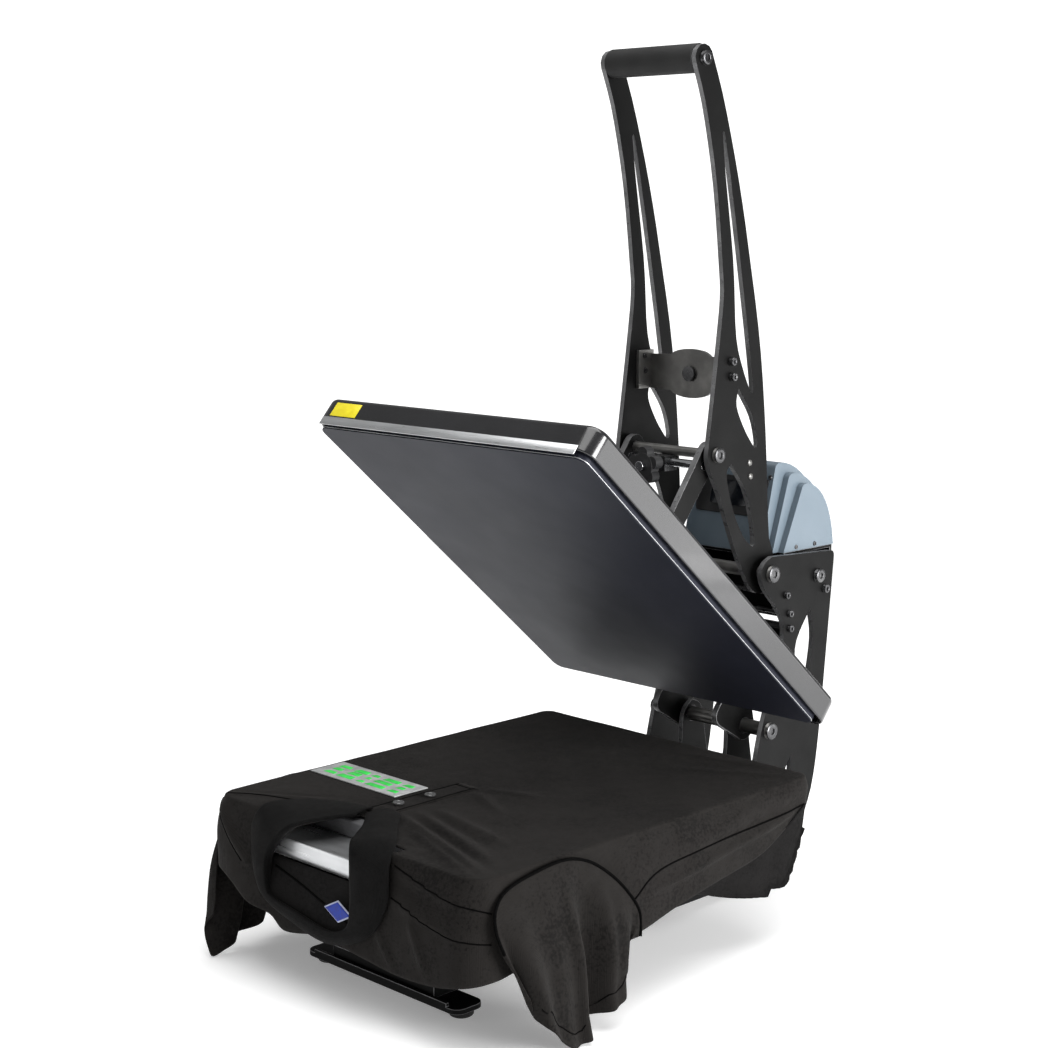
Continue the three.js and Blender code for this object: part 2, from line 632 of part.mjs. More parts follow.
// A link outline: an eye at each end, drawn along the line from the toggle shaft to the ear pin.
function linkShape() {
  const along = Math.atan2(LINK_DOWN.z, LINK_DOWN.y);
  const shape = new THREE.Shape();
  shape.absarc(TOGGLE.y, TOGGLE.z, 14, along + Math.PI / 2, along + Math.PI * 1.5);
  shape.absarc(EAR_PIN_OPEN.y, EAR_PIN_OPEN.z, 11, along - Math.PI / 2, along + Math.PI / 2);
  shape.closePath();
  shape.holes.push(circlePath(TOGGLE.y, TOGGLE.z, 6.3));
  shape.holes.push(circlePath(EAR_PIN_OPEN.y, EAR_PIN_OPEN.z, LINK_PIN_RADIUS + GAP));
  shape.holes.push(circlePath(ADJUST_ROD.y, ADJUST_ROD.z, 5.3));
  return shape;
}

function makeLink() {
  bothSides(LINK, (side, x0, x1) => {
    addMesh(`link_bar_${side}`, plateYZ(linkShape(), x0, x1, 6), blackCoat);
  });
  addMesh('link_pin', barX(LINK_PIN_RADIUS, -LINK.outer, LINK.outer, EAR_PIN_OPEN.y, EAR_PIN_OPEN.z), steel);
  addMesh('adjusting_rod', barX(5, -LINK.outer, LINK.outer, ADJUST_ROD.y, ADJUST_ROD.z), chrome);
  const block = cut(box(-11, 11, ADJUST_ROD.y - 12, ADJUST_ROD.y + 9, ADJUST_ROD.z - 10, ADJUST_ROD.z + 7.5), [
    barX(5.3, -12, 12, ADJUST_ROD.y, ADJUST_ROD.z),
    barX(6.5, -12, 12, TOGGLE.y, TOGGLE.z),
    barY(4.3, ADJUST_ROD.y - 30, ADJUST_ROD.y - 5.5, 0, ADJUST_ROD.z - 2, 16),
  ]);
  addMesh('adjusting_block', block, steel);
}

// A star knob with five lobes on a chrome stud, screwed into the adjusting block.
function makeKnob() {
  const y = ADJUST_ROD.y;
  const z = ADJUST_ROD.z - 2;
  const lobes = Array.from({ length: 5 }, (_, index) => {
    const angle = Math.PI / 2 + index * Math.PI * 2 / 5;
    return barY(7.5, y - 38, y - 26, 14.5 * Math.cos(angle), z + 14.5 * Math.sin(angle), 16);
  });
  const knob = join([barY(15, y - 38.5, y - 25.5, 0, z, 24), barY(9, y - 26, y - 20, 0, z, 20), ...lobes]);
  addMesh('pressure_knob', cut(knob, [barY(4.3, y - 50, y, 0, z, 16)]), blackPlastic);
  addMesh('knob_stud', join([barY(4, y - 42, y - 6.5, 0, z, 16), barY(6, y - 44, y - 38.8, 0, z, 16)]), chrome);
}

makeBase();
makeColumn();
makeLowerPlaten();
makeGarment();
makeControlBox();
makeHeatPlaten();
makeHandle();
makeLink();
makeKnob();

export default root;
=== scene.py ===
# %% [markdown]
# This lesson dresses a tabletop garment press. The press stands open: a hinged
# heat platen over a fixed lower platen with a black polo shirt threaded on it,
# a tall twin-arm handle behind, and a blue-gray control hood at the back.
# The engineered parts come in as a fixed frame. Every cell below either gives
# one of those parts its real surface or adds a soft or small piece to them.

# %% Load the frame
import json
import math

import bmesh
import bpy
import numpy as np
from mathutils import Matrix, Vector

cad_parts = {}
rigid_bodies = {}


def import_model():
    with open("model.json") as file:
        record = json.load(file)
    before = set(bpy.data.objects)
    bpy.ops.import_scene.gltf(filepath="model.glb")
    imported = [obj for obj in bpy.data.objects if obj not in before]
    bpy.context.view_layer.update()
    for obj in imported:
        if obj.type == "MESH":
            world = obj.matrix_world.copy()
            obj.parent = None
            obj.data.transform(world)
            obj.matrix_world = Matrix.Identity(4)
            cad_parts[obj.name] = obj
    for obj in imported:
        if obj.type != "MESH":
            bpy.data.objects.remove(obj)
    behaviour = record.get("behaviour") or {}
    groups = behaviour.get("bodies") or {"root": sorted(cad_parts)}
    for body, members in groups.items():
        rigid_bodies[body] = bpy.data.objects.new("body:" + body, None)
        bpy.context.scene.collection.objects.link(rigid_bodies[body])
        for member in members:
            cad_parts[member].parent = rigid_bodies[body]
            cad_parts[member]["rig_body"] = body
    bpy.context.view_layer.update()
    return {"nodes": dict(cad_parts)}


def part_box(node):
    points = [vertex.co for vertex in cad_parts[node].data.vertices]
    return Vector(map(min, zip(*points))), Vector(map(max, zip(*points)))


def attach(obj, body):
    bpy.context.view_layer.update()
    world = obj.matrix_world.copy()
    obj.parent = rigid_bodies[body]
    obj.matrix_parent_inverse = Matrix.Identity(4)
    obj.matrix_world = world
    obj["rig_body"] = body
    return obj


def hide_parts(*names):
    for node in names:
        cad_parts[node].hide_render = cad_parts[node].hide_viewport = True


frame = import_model()
MM = 0.001

# %% [markdown]
# The camera looks at the press from its front right corner, a little above
# platen height. A long lens keeps the tall arms almost parallel.

# %% Camera
camera_data = bpy.data.cameras.new("camera")
camera_data.lens = 67.81
camera_data.sensor_width = 36.0
camera = bpy.data.objects.new("camera", camera_data)
camera.location = (1.48647, -1.56, 0.80012)
camera.rotation_euler = (math.radians(80.96), 0.0, math.radians(45.22))
bpy.context.scene.collection.objects.link(camera)
bpy.context.scene.camera = camera
print("camera stands", round(camera.location.length, 2), "m from the origin")

# %% [markdown]
# A product studio is a white sweep with large soft lamps. Black powder coat and
# black cloth show only what they mirror, so the lamp at the right matters most:
# it draws the side of the shirt, the rim of the cover and the ends of the hood.

# %% Studio
bpy.context.scene.view_settings.view_transform = "Standard"
world = bpy.data.worlds.new("studio")
world.use_nodes = True
sky = world.node_tree.nodes["Background"]
sky.inputs["Color"].default_value = (1, 1, 1, 1)
sky.inputs["Strength"].default_value = 0.26
backdrop = world.node_tree.nodes.new("ShaderNodeBackground")
backdrop.inputs["Strength"].default_value = 1.7
which_ray = world.node_tree.nodes.new("ShaderNodeLightPath")
choose = world.node_tree.nodes.new("ShaderNodeMixShader")
world.node_tree.links.new(which_ray.outputs["Is Camera Ray"], choose.inputs["Fac"])
world.node_tree.links.new(sky.outputs["Background"], choose.inputs[1])
world.node_tree.links.new(backdrop.outputs["Background"], choose.inputs[2])
world.node_tree.links.new(choose.outputs["Shader"], world.node_tree.nodes["World Output"].inputs["Surface"])
bpy.context.scene.world = world


def soft_lamp(name, place, target, size, power):
    """An area lamp at place that faces target; size is its side or (width, height)."""
    data = bpy.data.lights.new(name, "AREA")
    data.shape = "RECTANGLE"
    data.size, data.size_y = size if isinstance(size, tuple) else (size, size)
    data.energy = power
    lamp = bpy.data.objects.new(name, data)
    lamp.location = place
    aim = Vector(target) - Vector(place)
    lamp.rotation_euler = aim.to_track_quat("-Z", "Y").to_euler()
    bpy.context.scene.collection.objects.link(lamp)
    return lamp


soft_lamp("right_lamp", (3.2, 0.5, 0.8), (0, 0, 0.25), 1.8, 165)
soft_lamp("low_rear_lamp", (1.75, 1.5, 0.30), (0.2, -0.05, 0.5), (1.7, 0.56), 9)
soft_lamp("top_lamp", (0.2, -0.1, 4.2), (0, 0, 0.0), 4.5, 205)
soft_lamp("front_lamp", (-1.6, -2.8, 0.9), (0, 0.1, 0.6), 1.2, 6)

# %% Floor
floor_mesh = bpy.data.meshes.new("floor")
sweep = bmesh.new()
bmesh.ops.create_circle(sweep, cap_ends=True, segments=96, radius=2.7)
sweep.to_mesh(floor_mesh)
sweep.free()
floor = bpy.data.objects.new("floor", floor_mesh)
bpy.context.scene.collection.objects.link(floor)
paper = bpy.data.materials.new("white_sweep")
paper.use_nodes = True
paper.node_tree.nodes["Principled BSDF"].inputs["Base Color"].default_value = (0.96, 0.96, 0.96, 1)
paper.node_tree.nodes["Principled BSDF"].inputs["Roughness"].default_value = 0.9
paper.node_tree.nodes["Principled BSDF"].inputs["Emission Color"].default_value = (1, 1, 1, 1)
paper.node_tree.nodes["Principled BSDF"].inputs["Emission Strength"].default_value = 0.22
floor_mesh.materials.append(paper)
print("floor disc is", 5.4, "m across and fades into the white wall")

# %% [markdown]
# Every finish starts from one Principled shader. The helpers hang the usual
# layers on it: a noise that follows the object, a colour range, a roughness
# range and a relief. Even values go straight onto the shader's own sockets.

# %% Finish helpers
def new_finish(name, roughness, metallic=0.0, coat=0.0, specular=0.5):
    """A Principled finish with its even values set on the shader."""
    finish = bpy.data.materials.new(name)
    finish.use_nodes = True
    shader = finish.node_tree.nodes["Principled BSDF"]
    shader.inputs["Roughness"].default_value = roughness
    shader.inputs["Metallic"].default_value = metallic
    shader.inputs["Coat Weight"].default_value = coat
    shader.inputs["Specular IOR Level"].default_value = specular
    return finish


def shader_of(finish):
    return finish.node_tree.nodes["Principled BSDF"]


def place_in_object(finish, stretch=(1, 1, 1), turn=(0, 0, 0)):
    """Object coordinates, stretched and turned; returns the vector socket."""
    nodes, links = finish.node_tree.nodes, finish.node_tree.links
    where = nodes.new("ShaderNodeTexCoord")
    mapping = nodes.new("ShaderNodeMapping")
    mapping.inputs["Scale"].default_value = stretch
    mapping.inputs["Rotation"].default_value = turn
    links.new(where.outputs["Object"], mapping.inputs["Vector"])
    return mapping.outputs["Vector"]


def noise(finish, scale, detail=4.0, stretch=(1, 1, 1), turn=(0, 0, 0)):
    nodes, links = finish.node_tree.nodes, finish.node_tree.links
    texture = nodes.new("ShaderNodeTexNoise")
    texture.inputs["Scale"].default_value = scale
    texture.inputs["Detail"].default_value = detail
    links.new(place_in_object(finish, stretch, turn), texture.inputs["Vector"])
    return texture.outputs["Fac"]


def cells(finish, scale, stretch=(1, 1, 1), feature="F1"):
    nodes, links = finish.node_tree.nodes, finish.node_tree.links
    texture = nodes.new("ShaderNodeTexVoronoi")
    texture.feature = feature
    texture.inputs["Scale"].default_value = scale
    links.new(place_in_object(finish, stretch), texture.inputs["Vector"])
    return texture.outputs["Distance"]


def ripple(finish, scale, direction="X", stretch=(1, 1, 1), turn=(0, 0, 0), distortion=0.0):
    nodes, links = finish.node_tree.nodes, finish.node_tree.links
    texture = nodes.new("ShaderNodeTexWave")
    texture.bands_direction = direction
    texture.inputs["Scale"].default_value = scale
    texture.inputs["Distortion"].default_value = distortion
    links.new(place_in_object(finish, stretch, turn), texture.inputs["Vector"])
    return texture.outputs["Fac"]


def join_factors(finish, first, second, how="MULTIPLY"):
    nodes, links = finish.node_tree.nodes, finish.node_tree.links
    sum_node = nodes.new("ShaderNodeMath")
    sum_node.operation = how
    links.new(first, sum_node.inputs[0])
    links.new(second, sum_node.inputs[1])
    return sum_node.outputs["Value"]


def colour_range(finish, factor, stops):
    """Colours the base from factor; stops are (position, (r, g, b))."""
    nodes, links = finish.node_tree.nodes, finish.node_tree.links
    ramp = nodes.new("ShaderNodeValToRGB")
    while len(ramp.color_ramp.elements) < len(stops):
        ramp.color_ramp.elements.new(0.5)
    for element, (position, colour) in zip(ramp.color_ramp.elements, stops):
        element.position = position
        element.color = (*colour, 1)
    links.new(factor, ramp.inputs["Fac"])
    links.new(ramp.outputs["Color"], shader_of(finish).inputs["Base Color"])


def rough_range(finish, factor, low, high, start=0.3, end=0.7):
    nodes, links = finish.node_tree.nodes, finish.node_tree.links
    spread = nodes.new("ShaderNodeMapRange")
    spread.inputs["From Min"].default_value = start
    spread.inputs["From Max"].default_value = end
    spread.inputs["To Min"].default_value = low
    spread.inputs["To Max"].default_value = high
    links.new(factor, spread.inputs["Value"])
    links.new(spread.outputs["Result"], shader_of(finish).inputs["Roughness"])


def relief(finish, factor, strength, distance, under=None):
    """Adds a bump from factor; under is an earlier relief to build on."""
    nodes, links = finish.node_tree.nodes, finish.node_tree.links
    bump = nodes.new("ShaderNodeBump")
    bump.inputs["Strength"].default_value = strength
    bump.inputs["Distance"].default_value = distance
    links.new(factor, bump.inputs["Height"])
    if under is not None:
        links.new(under, bump.inputs["Normal"])
    links.new(bump.outputs["Normal"], shader_of(finish).inputs["Normal"])
    return bump.outputs["Normal"]


print("finish helpers ready")

# %% [markdown]
# Powder coat is a baked plastic skin: nearly black, satin, with a fine orange
# peel. Along every laser-cut edge the skin is thin and rubbed, so edges get a
# second, lighter and smoother finish of their own. That lighter edge is partly
# rubbed wear and partly a painted highlight.

# %% Powder coat
powder_coat = new_finish("powder_coat", 0.42, specular=0.10)
colour_range(powder_coat, noise(powder_coat, 9, 6), [
    (0.30, (0.002, 0.002, 0.002)), (0.55, (0.0035, 0.0035, 0.0035)), (0.80, (0.007, 0.007, 0.007))])
rough_range(powder_coat, noise(powder_coat, 22, 5), 0.40, 0.56)
peel = relief(powder_coat, noise(powder_coat, 900, 2), 0.16, 0.0004)
relief(powder_coat, noise(powder_coat, 60, 3), 0.05, 0.0010, under=peel)

# lighter, smoother edge finish: partly rubbed wear, partly painted highlight
edge_wear_and_highlight = new_finish("edge_wear_and_highlight", 0.30, metallic=0.35)
colour_range(edge_wear_and_highlight, noise(edge_wear_and_highlight, 45, 6), [
    (0.35, (0.13, 0.13, 0.133)), (0.55, (0.17, 0.17, 0.174)), (0.75, (0.24, 0.24, 0.244))])
rough_range(edge_wear_and_highlight, noise(edge_wear_and_highlight, 120, 4), 0.22, 0.42)
relief(edge_wear_and_highlight, noise(edge_wear_and_highlight, 700, 2), 0.12, 0.0003)
print("powder coat:", powder_coat.name, edge_wear_and_highlight.name)

# %% [markdown]
# The cover of the heat platen is sprayed gloss enamel. It has a long soft wave
# that bends reflections, faint dust, and a hard clear surface.

# %% Gloss enamel
gloss_enamel = new_finish("gloss_enamel", 0.16, coat=0.6)
shader_of(gloss_enamel).inputs["Coat Roughness"].default_value = 0.06
colour_range(gloss_enamel, noise(gloss_enamel, 7, 5), [
    (0.35, (0.006, 0.006, 0.007)), (0.70, (0.014, 0.014, 0.016))])
rough_range(gloss_enamel, noise(gloss_enamel, 35, 6), 0.12, 0.26)
wave = relief(gloss_enamel, noise(gloss_enamel, 14, 2), 0.05, 0.0020)
relief(gloss_enamel, noise(gloss_enamel, 420, 2), 0.05, 0.0003, under=wave)
print("enamel:", gloss_enamel.name)

# %% [markdown]
# Four bare metals: chrome on the adjusting rod and the knob's stud, black oxide
# on bolts, dark ground steel on shafts and the bracket, and satin cast aluminium.

# %% Bare metals
chrome = new_finish("chrome", 0.10, metallic=1.0)
colour_range(chrome, noise(chrome, 30, 4), [
    (0.3, (0.62, 0.63, 0.65)), (0.7, (0.80, 0.81, 0.83))])
rough_range(chrome, noise(chrome, 60, 5), 0.06, 0.20)
relief(chrome, noise(chrome, 500, 2, stretch=(1, 8, 8)), 0.04, 0.0002)

black_oxide = new_finish("black_oxide", 0.28, metallic=0.85)
colour_range(black_oxide, noise(black_oxide, 60, 6), [
    (0.3, (0.045, 0.045, 0.047)), (0.55, (0.085, 0.085, 0.088)), (0.75, (0.15, 0.15, 0.15))])
rough_range(black_oxide, noise(black_oxide, 110, 5), 0.20, 0.36)
relief(black_oxide, noise(black_oxide, 500, 3), 0.10, 0.0003)

dark_steel = new_finish("dark_steel", 0.36, metallic=0.7)
colour_range(dark_steel, noise(dark_steel, 35, 6), [
    (0.3, (0.11, 0.108, 0.104)), (0.55, (0.17, 0.167, 0.16)), (0.75, (0.24, 0.235, 0.225))])
rough_range(dark_steel, noise(dark_steel, 70, 5, stretch=(1, 6, 1)), 0.28, 0.46)
relief(dark_steel, noise(dark_steel, 300, 3, stretch=(0.4, 6, 1)), 0.10, 0.0003)

cast_aluminium = new_finish("cast_aluminium", 0.34, metallic=0.85)
colour_range(cast_aluminium, noise(cast_aluminium, 12, 6), [
    (0.3, (0.50, 0.51, 0.52)), (0.7, (0.68, 0.69, 0.70))])
rough_range(cast_aluminium, noise(cast_aluminium, 50, 6, stretch=(0.3, 6, 6)), 0.26, 0.44)
relief(cast_aluminium, noise(cast_aluminium, 260, 3, stretch=(0.15, 5, 5)), 0.14, 0.0004)
print("metals:", chrome.name, black_oxide.name, dark_steel.name, cast_aluminium.name)

# %% [markdown]
# Moulded plastic has a spark-eroded grain. The hood is a cool blue-gray, the
# panel, switch and knob are black, and the screen is a smooth smoked window.

# %% Plastics and screen
hood_plastic = new_finish("hood_plastic", 0.42)
colour_range(hood_plastic, noise(hood_plastic, 11, 6), [
    (0.3, (0.104, 0.138, 0.168)), (0.7, (0.128, 0.164, 0.196))])
rough_range(hood_plastic, noise(hood_plastic, 30, 5), 0.36, 0.50)
relief(hood_plastic, cells(hood_plastic, 900), 0.10, 0.0003)

black_plastic = new_finish("black_plastic", 0.40)
colour_range(black_plastic, noise(black_plastic, 20, 6), [
    (0.3, (0.010, 0.010, 0.011)), (0.7, (0.022, 0.022, 0.023))])
rough_range(black_plastic, noise(black_plastic, 45, 5), 0.30, 0.50)
relief(black_plastic, cells(black_plastic, 1100), 0.14, 0.0003)

smoked_screen = new_finish("smoked_screen", 0.08, coat=0.5)
colour_range(smoked_screen, noise(smoked_screen, 25, 3), [
    (0.3, (0.003, 0.004, 0.006)), (0.7, (0.007, 0.009, 0.012))])
rough_range(smoked_screen, noise(smoked_screen, 90, 6), 0.05, 0.16)
relief(smoked_screen, noise(smoked_screen, 30, 2), 0.03, 0.0005)
print("plastics:", hood_plastic.name, black_plastic.name, smoked_screen.name)

# %% [markdown]
# The face that presses the shirt is coated with dark non-stick, slightly
# mottled by heat. Feet and grips are rubber; the pad is a gray silicone sponge.

# %% Coating, rubber and sponge
non_stick = new_finish("non_stick", 0.46, specular=0.22)
colour_range(non_stick, noise(non_stick, 6, 8), [
    (0.30, (0.010, 0.0106, 0.0165)), (0.55, (0.013, 0.0140, 0.0215)), (0.80, (0.017, 0.0180, 0.0270))])
rough_range(non_stick, noise(non_stick, 18, 6), 0.45, 0.50)
shader_of(non_stick).inputs["Specular Tint"].default_value = (0.86, 0.90, 1.0, 1)
fine = relief(non_stick, noise(non_stick, 700, 2), 0.10, 0.0003)
relief(non_stick, noise(non_stick, 9, 2), 0.02, 0.0010, under=fine)

rubber = new_finish("rubber", 0.70, specular=0.3)
colour_range(rubber, noise(rubber, 30, 6), [
    (0.3, (0.012, 0.012, 0.012)), (0.7, (0.028, 0.028, 0.028))])
rough_range(rubber, noise(rubber, 60, 5), 0.58, 0.80)
relief(rubber, noise(rubber, 500, 4), 0.22, 0.0004)

silicone = new_finish("silicone", 0.80)
colour_range(silicone, noise(silicone, 40, 6), [
    (0.3, (0.075, 0.075, 0.080)), (0.7, (0.120, 0.120, 0.125))])
rough_range(silicone, noise(silicone, 50, 5), 0.70, 0.88)
relief(silicone, cells(silicone, 420), 0.30, 0.0008)
print("coating:", non_stick.name, rubber.name, silicone.name)

# %% [markdown]
# Laser-cut plate, turned pins and moulded shells all share one thing: no edge
# is knife sharp. A copy of each engineered part is merged, its flat triangles
# are dissolved, and its sharp edges are beveled. The bevel faces take the
# second finish; on the black plates that is a lighter rim, partly rubbed wear
# and partly painted highlight. On the upright plates the thin faces that look
# forward, up or down take it too, as painted highlight.

# %% Edged copies of engineered parts
def link_piece(name, mesh, finishes, body):
    """Turns a bmesh into a smooth-shaded piece that rides on a body."""
    data = bpy.data.meshes.new(name)
    mesh.to_mesh(data)
    mesh.free()
    piece = bpy.data.objects.new(name, data)
    bpy.context.scene.collection.objects.link(piece)
    for finish in finishes:
        data.materials.append(finish)
    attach(piece, body)
    return piece


def shade_by_angle(mesh, degrees):
    for face in mesh.faces:
        face.smooth = True
    for edge in mesh.edges:
        edge.smooth = not edge.is_manifold or edge.calc_face_angle(0.0) < math.radians(degrees)


def weight_normals(piece):
    modifier = piece.modifiers.new("flat_faces", "WEIGHTED_NORMAL")
    modifier.keep_sharp = True
    modifier.weight = 90


def edged_copy(node_name, finishes, edge=0.7 * MM, segments=2, corner=32, painted_highlight_faces=False):
    """A merged copy of a CAD node with its sharp edges beveled."""
    source = frame["nodes"][node_name]
    mesh = bmesh.new()
    mesh.from_mesh(source.data)
    bmesh.ops.remove_doubles(mesh, verts=mesh.verts, dist=2e-6)
    bmesh.ops.dissolve_limit(mesh, angle_limit=math.radians(0.6), verts=mesh.verts, edges=mesh.edges)
    sharp = [e for e in mesh.edges if e.is_manifold and e.calc_face_angle(0.0) > math.radians(corner)]
    if sharp and edge:
        made = bmesh.ops.bevel(mesh, geom=sharp, offset=edge, offset_type="OFFSET", segments=segments,
                               profile=0.5, affect="EDGES", clamp_overlap=True, material=-1)
        for face in made["faces"]:
            face.material_index = len(finishes) - 1
    # picked by facing: thin faces that look forward, up or down get the lighter last finish as a painted
    # highlight
    if painted_highlight_faces:
        for face in mesh.faces:
            if abs(face.normal.x) < 0.3 and face.normal.y < 0.2:
                face.material_index = len(finishes) - 1
    bmesh.ops.triangulate(mesh, faces=[f for f in mesh.faces if len(f.verts) > 4])
    shade_by_angle(mesh, 40)
    piece = link_piece(node_name + ".edged", mesh, finishes, source["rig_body"])
    weight_normals(piece)
    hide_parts(node_name)
    return piece


print("edged_copy ready")

# %% Dress the engineered parts
PLATES = ["link_bar_left", "link_bar_right", "side_plate_left", "side_plate_right", "inner_plate_left",
          "inner_plate_right",
          "handle_arm_left", "handle_arm_right", "carrier_plate_left", "carrier_plate_right",
          "carrier_cross_plate", "column_spreader", "platen_beam_left", "platen_beam_right",
          "base_plate", "front_foot_bar", "rear_foot_bar", "electrics_tray"]
CHROMED = ["adjusting_rod", "knob_stud"]
OXIDED = ["upper_spacer_rod", "middle_spacer_rod", "lower_spacer_rod", "rear_spacer_rod", "rear_tie_rod",
          "link_pin", "grip_rod",
          "strike_bolt", "adjusting_block", "bracket_bolt_left_1", "bracket_bolt_left_2",
          "bracket_bolt_right_1", "bracket_bolt_right_2"]
DARK_STEEL = ["strike_bracket", "strike_disc", "hinge_shaft", "handle_shaft", "toggle_shaft"]
RUBBERS = ["foot_front_left", "foot_front_right", "foot_rear_left", "foot_rear_right", "hand_grip"]
BLACK_MOULDED = ["mains_inlet", "switch_frame", "power_switch", "display_panel", "pressure_knob"]

for name in PLATES:
    upright = name.startswith(("side_plate", "inner_plate", "handle_arm", "link_bar", "carrier_plate"))
    # on upright plates the forward-, up- and down-facing thin faces get a painted highlight
    edged_copy(name, [powder_coat, edge_wear_and_highlight], edge=0.6 * MM, painted_highlight_faces=upright)
for name in CHROMED:
    edged_copy(name, [chrome], edge=0.4 * MM)
for name in OXIDED:
    edged_copy(name, [black_oxide], edge=0.5 * MM)
for name in DARK_STEEL:
    edged_copy(name, [dark_steel], edge=0.5 * MM)
for name in RUBBERS:
    edged_copy(name, [rubber], edge=1.2 * MM)
for name in BLACK_MOULDED:
    edged_copy(name, [black_plastic], edge=0.6 * MM)
edged_copy("heat_cover", [gloss_enamel], edge=2.0 * MM, segments=3, corner=26)
edged_copy("heat_plate", [non_stick, cast_aluminium], edge=0.6 * MM)
edged_copy("lower_platen", [cast_aluminium], edge=1.5 * MM)
edged_copy("non_stick_face", [non_stick], edge=0.3 * MM)
edged_copy("insulation_board", [silicone], edge=0.6 * MM)
edged_copy("platen_pad", [silicone], edge=3.0 * MM, segments=3)
edged_copy("control_hood", [hood_plastic], edge=1.0 * MM, segments=3, corner=26)
edged_copy("display_screen", [smoked_screen], edge=0.3 * MM)

# %% [markdown]
# The shirt is the soft part. It is cut from knitted cloth in panels: a front
# panel, a back panel, two sleeves, a collar, a placket. Here each panel is a
# sheet hung over the lower platen: measured lines give its edges, a smooth
# curve joins them, and folds are added as ridges that fade at both ends.

# %% Cloth helpers
def curve(points, count, closed=False):
    """Points at even distances along a smooth curve through the given ones."""
    given = np.asarray(points, float)
    total = len(given)
    steps = np.linspace(0, 1, 12, endpoint=False)[:, None]
    dense = []
    for i in range(total if closed else total - 1):
        pick = (lambda k: given[k % total]) if closed else (lambda k: given[min(max(k, 0), total - 1)])
        a, b, c, d = pick(i - 1), pick(i), pick(i + 1), pick(i + 2)
        dense.append(0.5 * (2 * b + (c - a) * steps + (2 * a - 5 * b + 4 * c - d) * steps ** 2
                            + (3 * b - a - 3 * c + d) * steps ** 3))
    dense.append(given[:1] if closed else given[-1:])
    dense = np.vstack(dense)
    run = np.concatenate([[0], np.cumsum(np.linalg.norm(np.diff(dense, axis=0), axis=1))])
    at = np.linspace(0, run[-1], count, endpoint=not closed)
    return np.stack([np.interp(at, run, dense[:, k]) for k in range(dense.shape[1])], axis=1)


def smooth_step(value, low, high):
    t = np.clip((value - low) / (high - low), 0, 1)
    return t * t * (3 - 2 * t)


def ridge(along, across, start, end, width):
    """A fold that runs from start to end and fades towards both."""
    line = np.asarray(end, float) - np.asarray(start, float)
    length = np.linalg.norm(line)
    line = line / length
    run = (along - start[0]) * line[0] + (across - start[1]) * line[1]
    side = (across - start[1]) * line[0] - (along - start[0]) * line[1]
    fade = smooth_step(run, -0.08 * length, 0.25 * length) * (1 - smooth_step(run, 0.6 * length,
                                                                              1.08 * length))
    return fade * np.exp(-(side / width) ** 2)


def cloth_sheet(name, net, finish, thick=1.1, around=False, drop=None):
    """A sheet from a net of points in millimetres; drop says which faces to leave out."""
    rows, columns = net.shape[:2]
    mesh = bmesh.new()
    verts = [[mesh.verts.new(Vector(net[r, c]) * MM) for c in range(columns)] for r in range(rows)]
    for r in range(rows - 1):
        for c in range(columns if around else columns - 1):
            corner = [verts[r][c], verts[r][(c + 1) % columns], verts[r + 1][(c + 1) % columns],
                      verts[r + 1][c]]
            middle = sum((v.co for v in corner), Vector()) / 4 / MM
            if drop is None or not drop(middle):
                mesh.faces.new(corner)
    loose = [v for v in mesh.verts if not v.link_faces]
    bmesh.ops.delete(mesh, geom=loose, context="VERTS")
    bmesh.ops.remove_doubles(mesh, verts=mesh.verts, dist=0.05 * MM)
    bmesh.ops.recalc_face_normals(mesh, faces=mesh.faces)
    for face in mesh.faces:
        face.smooth = True
    area = sum(face.calc_area() for face in mesh.faces)
    piece = link_piece(name, mesh, [finish], "base")
    shell = piece.modifiers.new("thickness", "SOLIDIFY")
    shell.thickness = thick * MM
    shell.offset = 0.0
    return piece, area


def inside(point, outline):
    """Whether a 2D point lies inside a closed outline."""
    x, y = point
    hit = False
    for (ax, ay), (bx, by) in zip(outline, outline[1:] + outline[:1]):
        if (ay > y) != (by > y) and x < (bx - ax) * (y - ay) / (by - ay) + ax:
            hit = not hit
    return hit


print("cloth helpers ready")

# %% [markdown]
# Black knitted cotton: nearly black, very rough, with a short bright fuzz that
# lifts its tone at glancing angles. The knit itself is a fine regular relief.

# %% Knit
def knit_finish(name, dark, light, sheen):
    finish = new_finish(name, 0.92, specular=0.12)
    shader = shader_of(finish)
    shader.inputs["Sheen Weight"].default_value = sheen
    shader.inputs["Sheen Roughness"].default_value = 0.45
    shader.inputs["Sheen Tint"].default_value = (1.0, 0.95, 0.92, 1)
    mottle = join_factors(finish, noise(finish, 14, 6), noise(finish, 300, 3), "ADD")
    colour_range(finish, mottle, [(0.80, dark), (1.25, light)])
    rough_range(finish, noise(finish, 60, 4), 0.84, 0.97)
    rib = join_factors(finish, ripple(finish, 260, "X"), ripple(finish, 260, "Y"), "ADD")
    weave = relief(finish, rib, 0.30, 0.0004)
    fuzz = relief(finish, noise(finish, 1300, 2), 0.30, 0.0004, under=weave)
    relief(finish, noise(finish, 38, 4), 0.06, 0.0012, under=fuzz)
    return finish


knit = knit_finish("black_knit", (0.0042, 0.0037, 0.0034), (0.0100, 0.0089, 0.0082), 0.03)
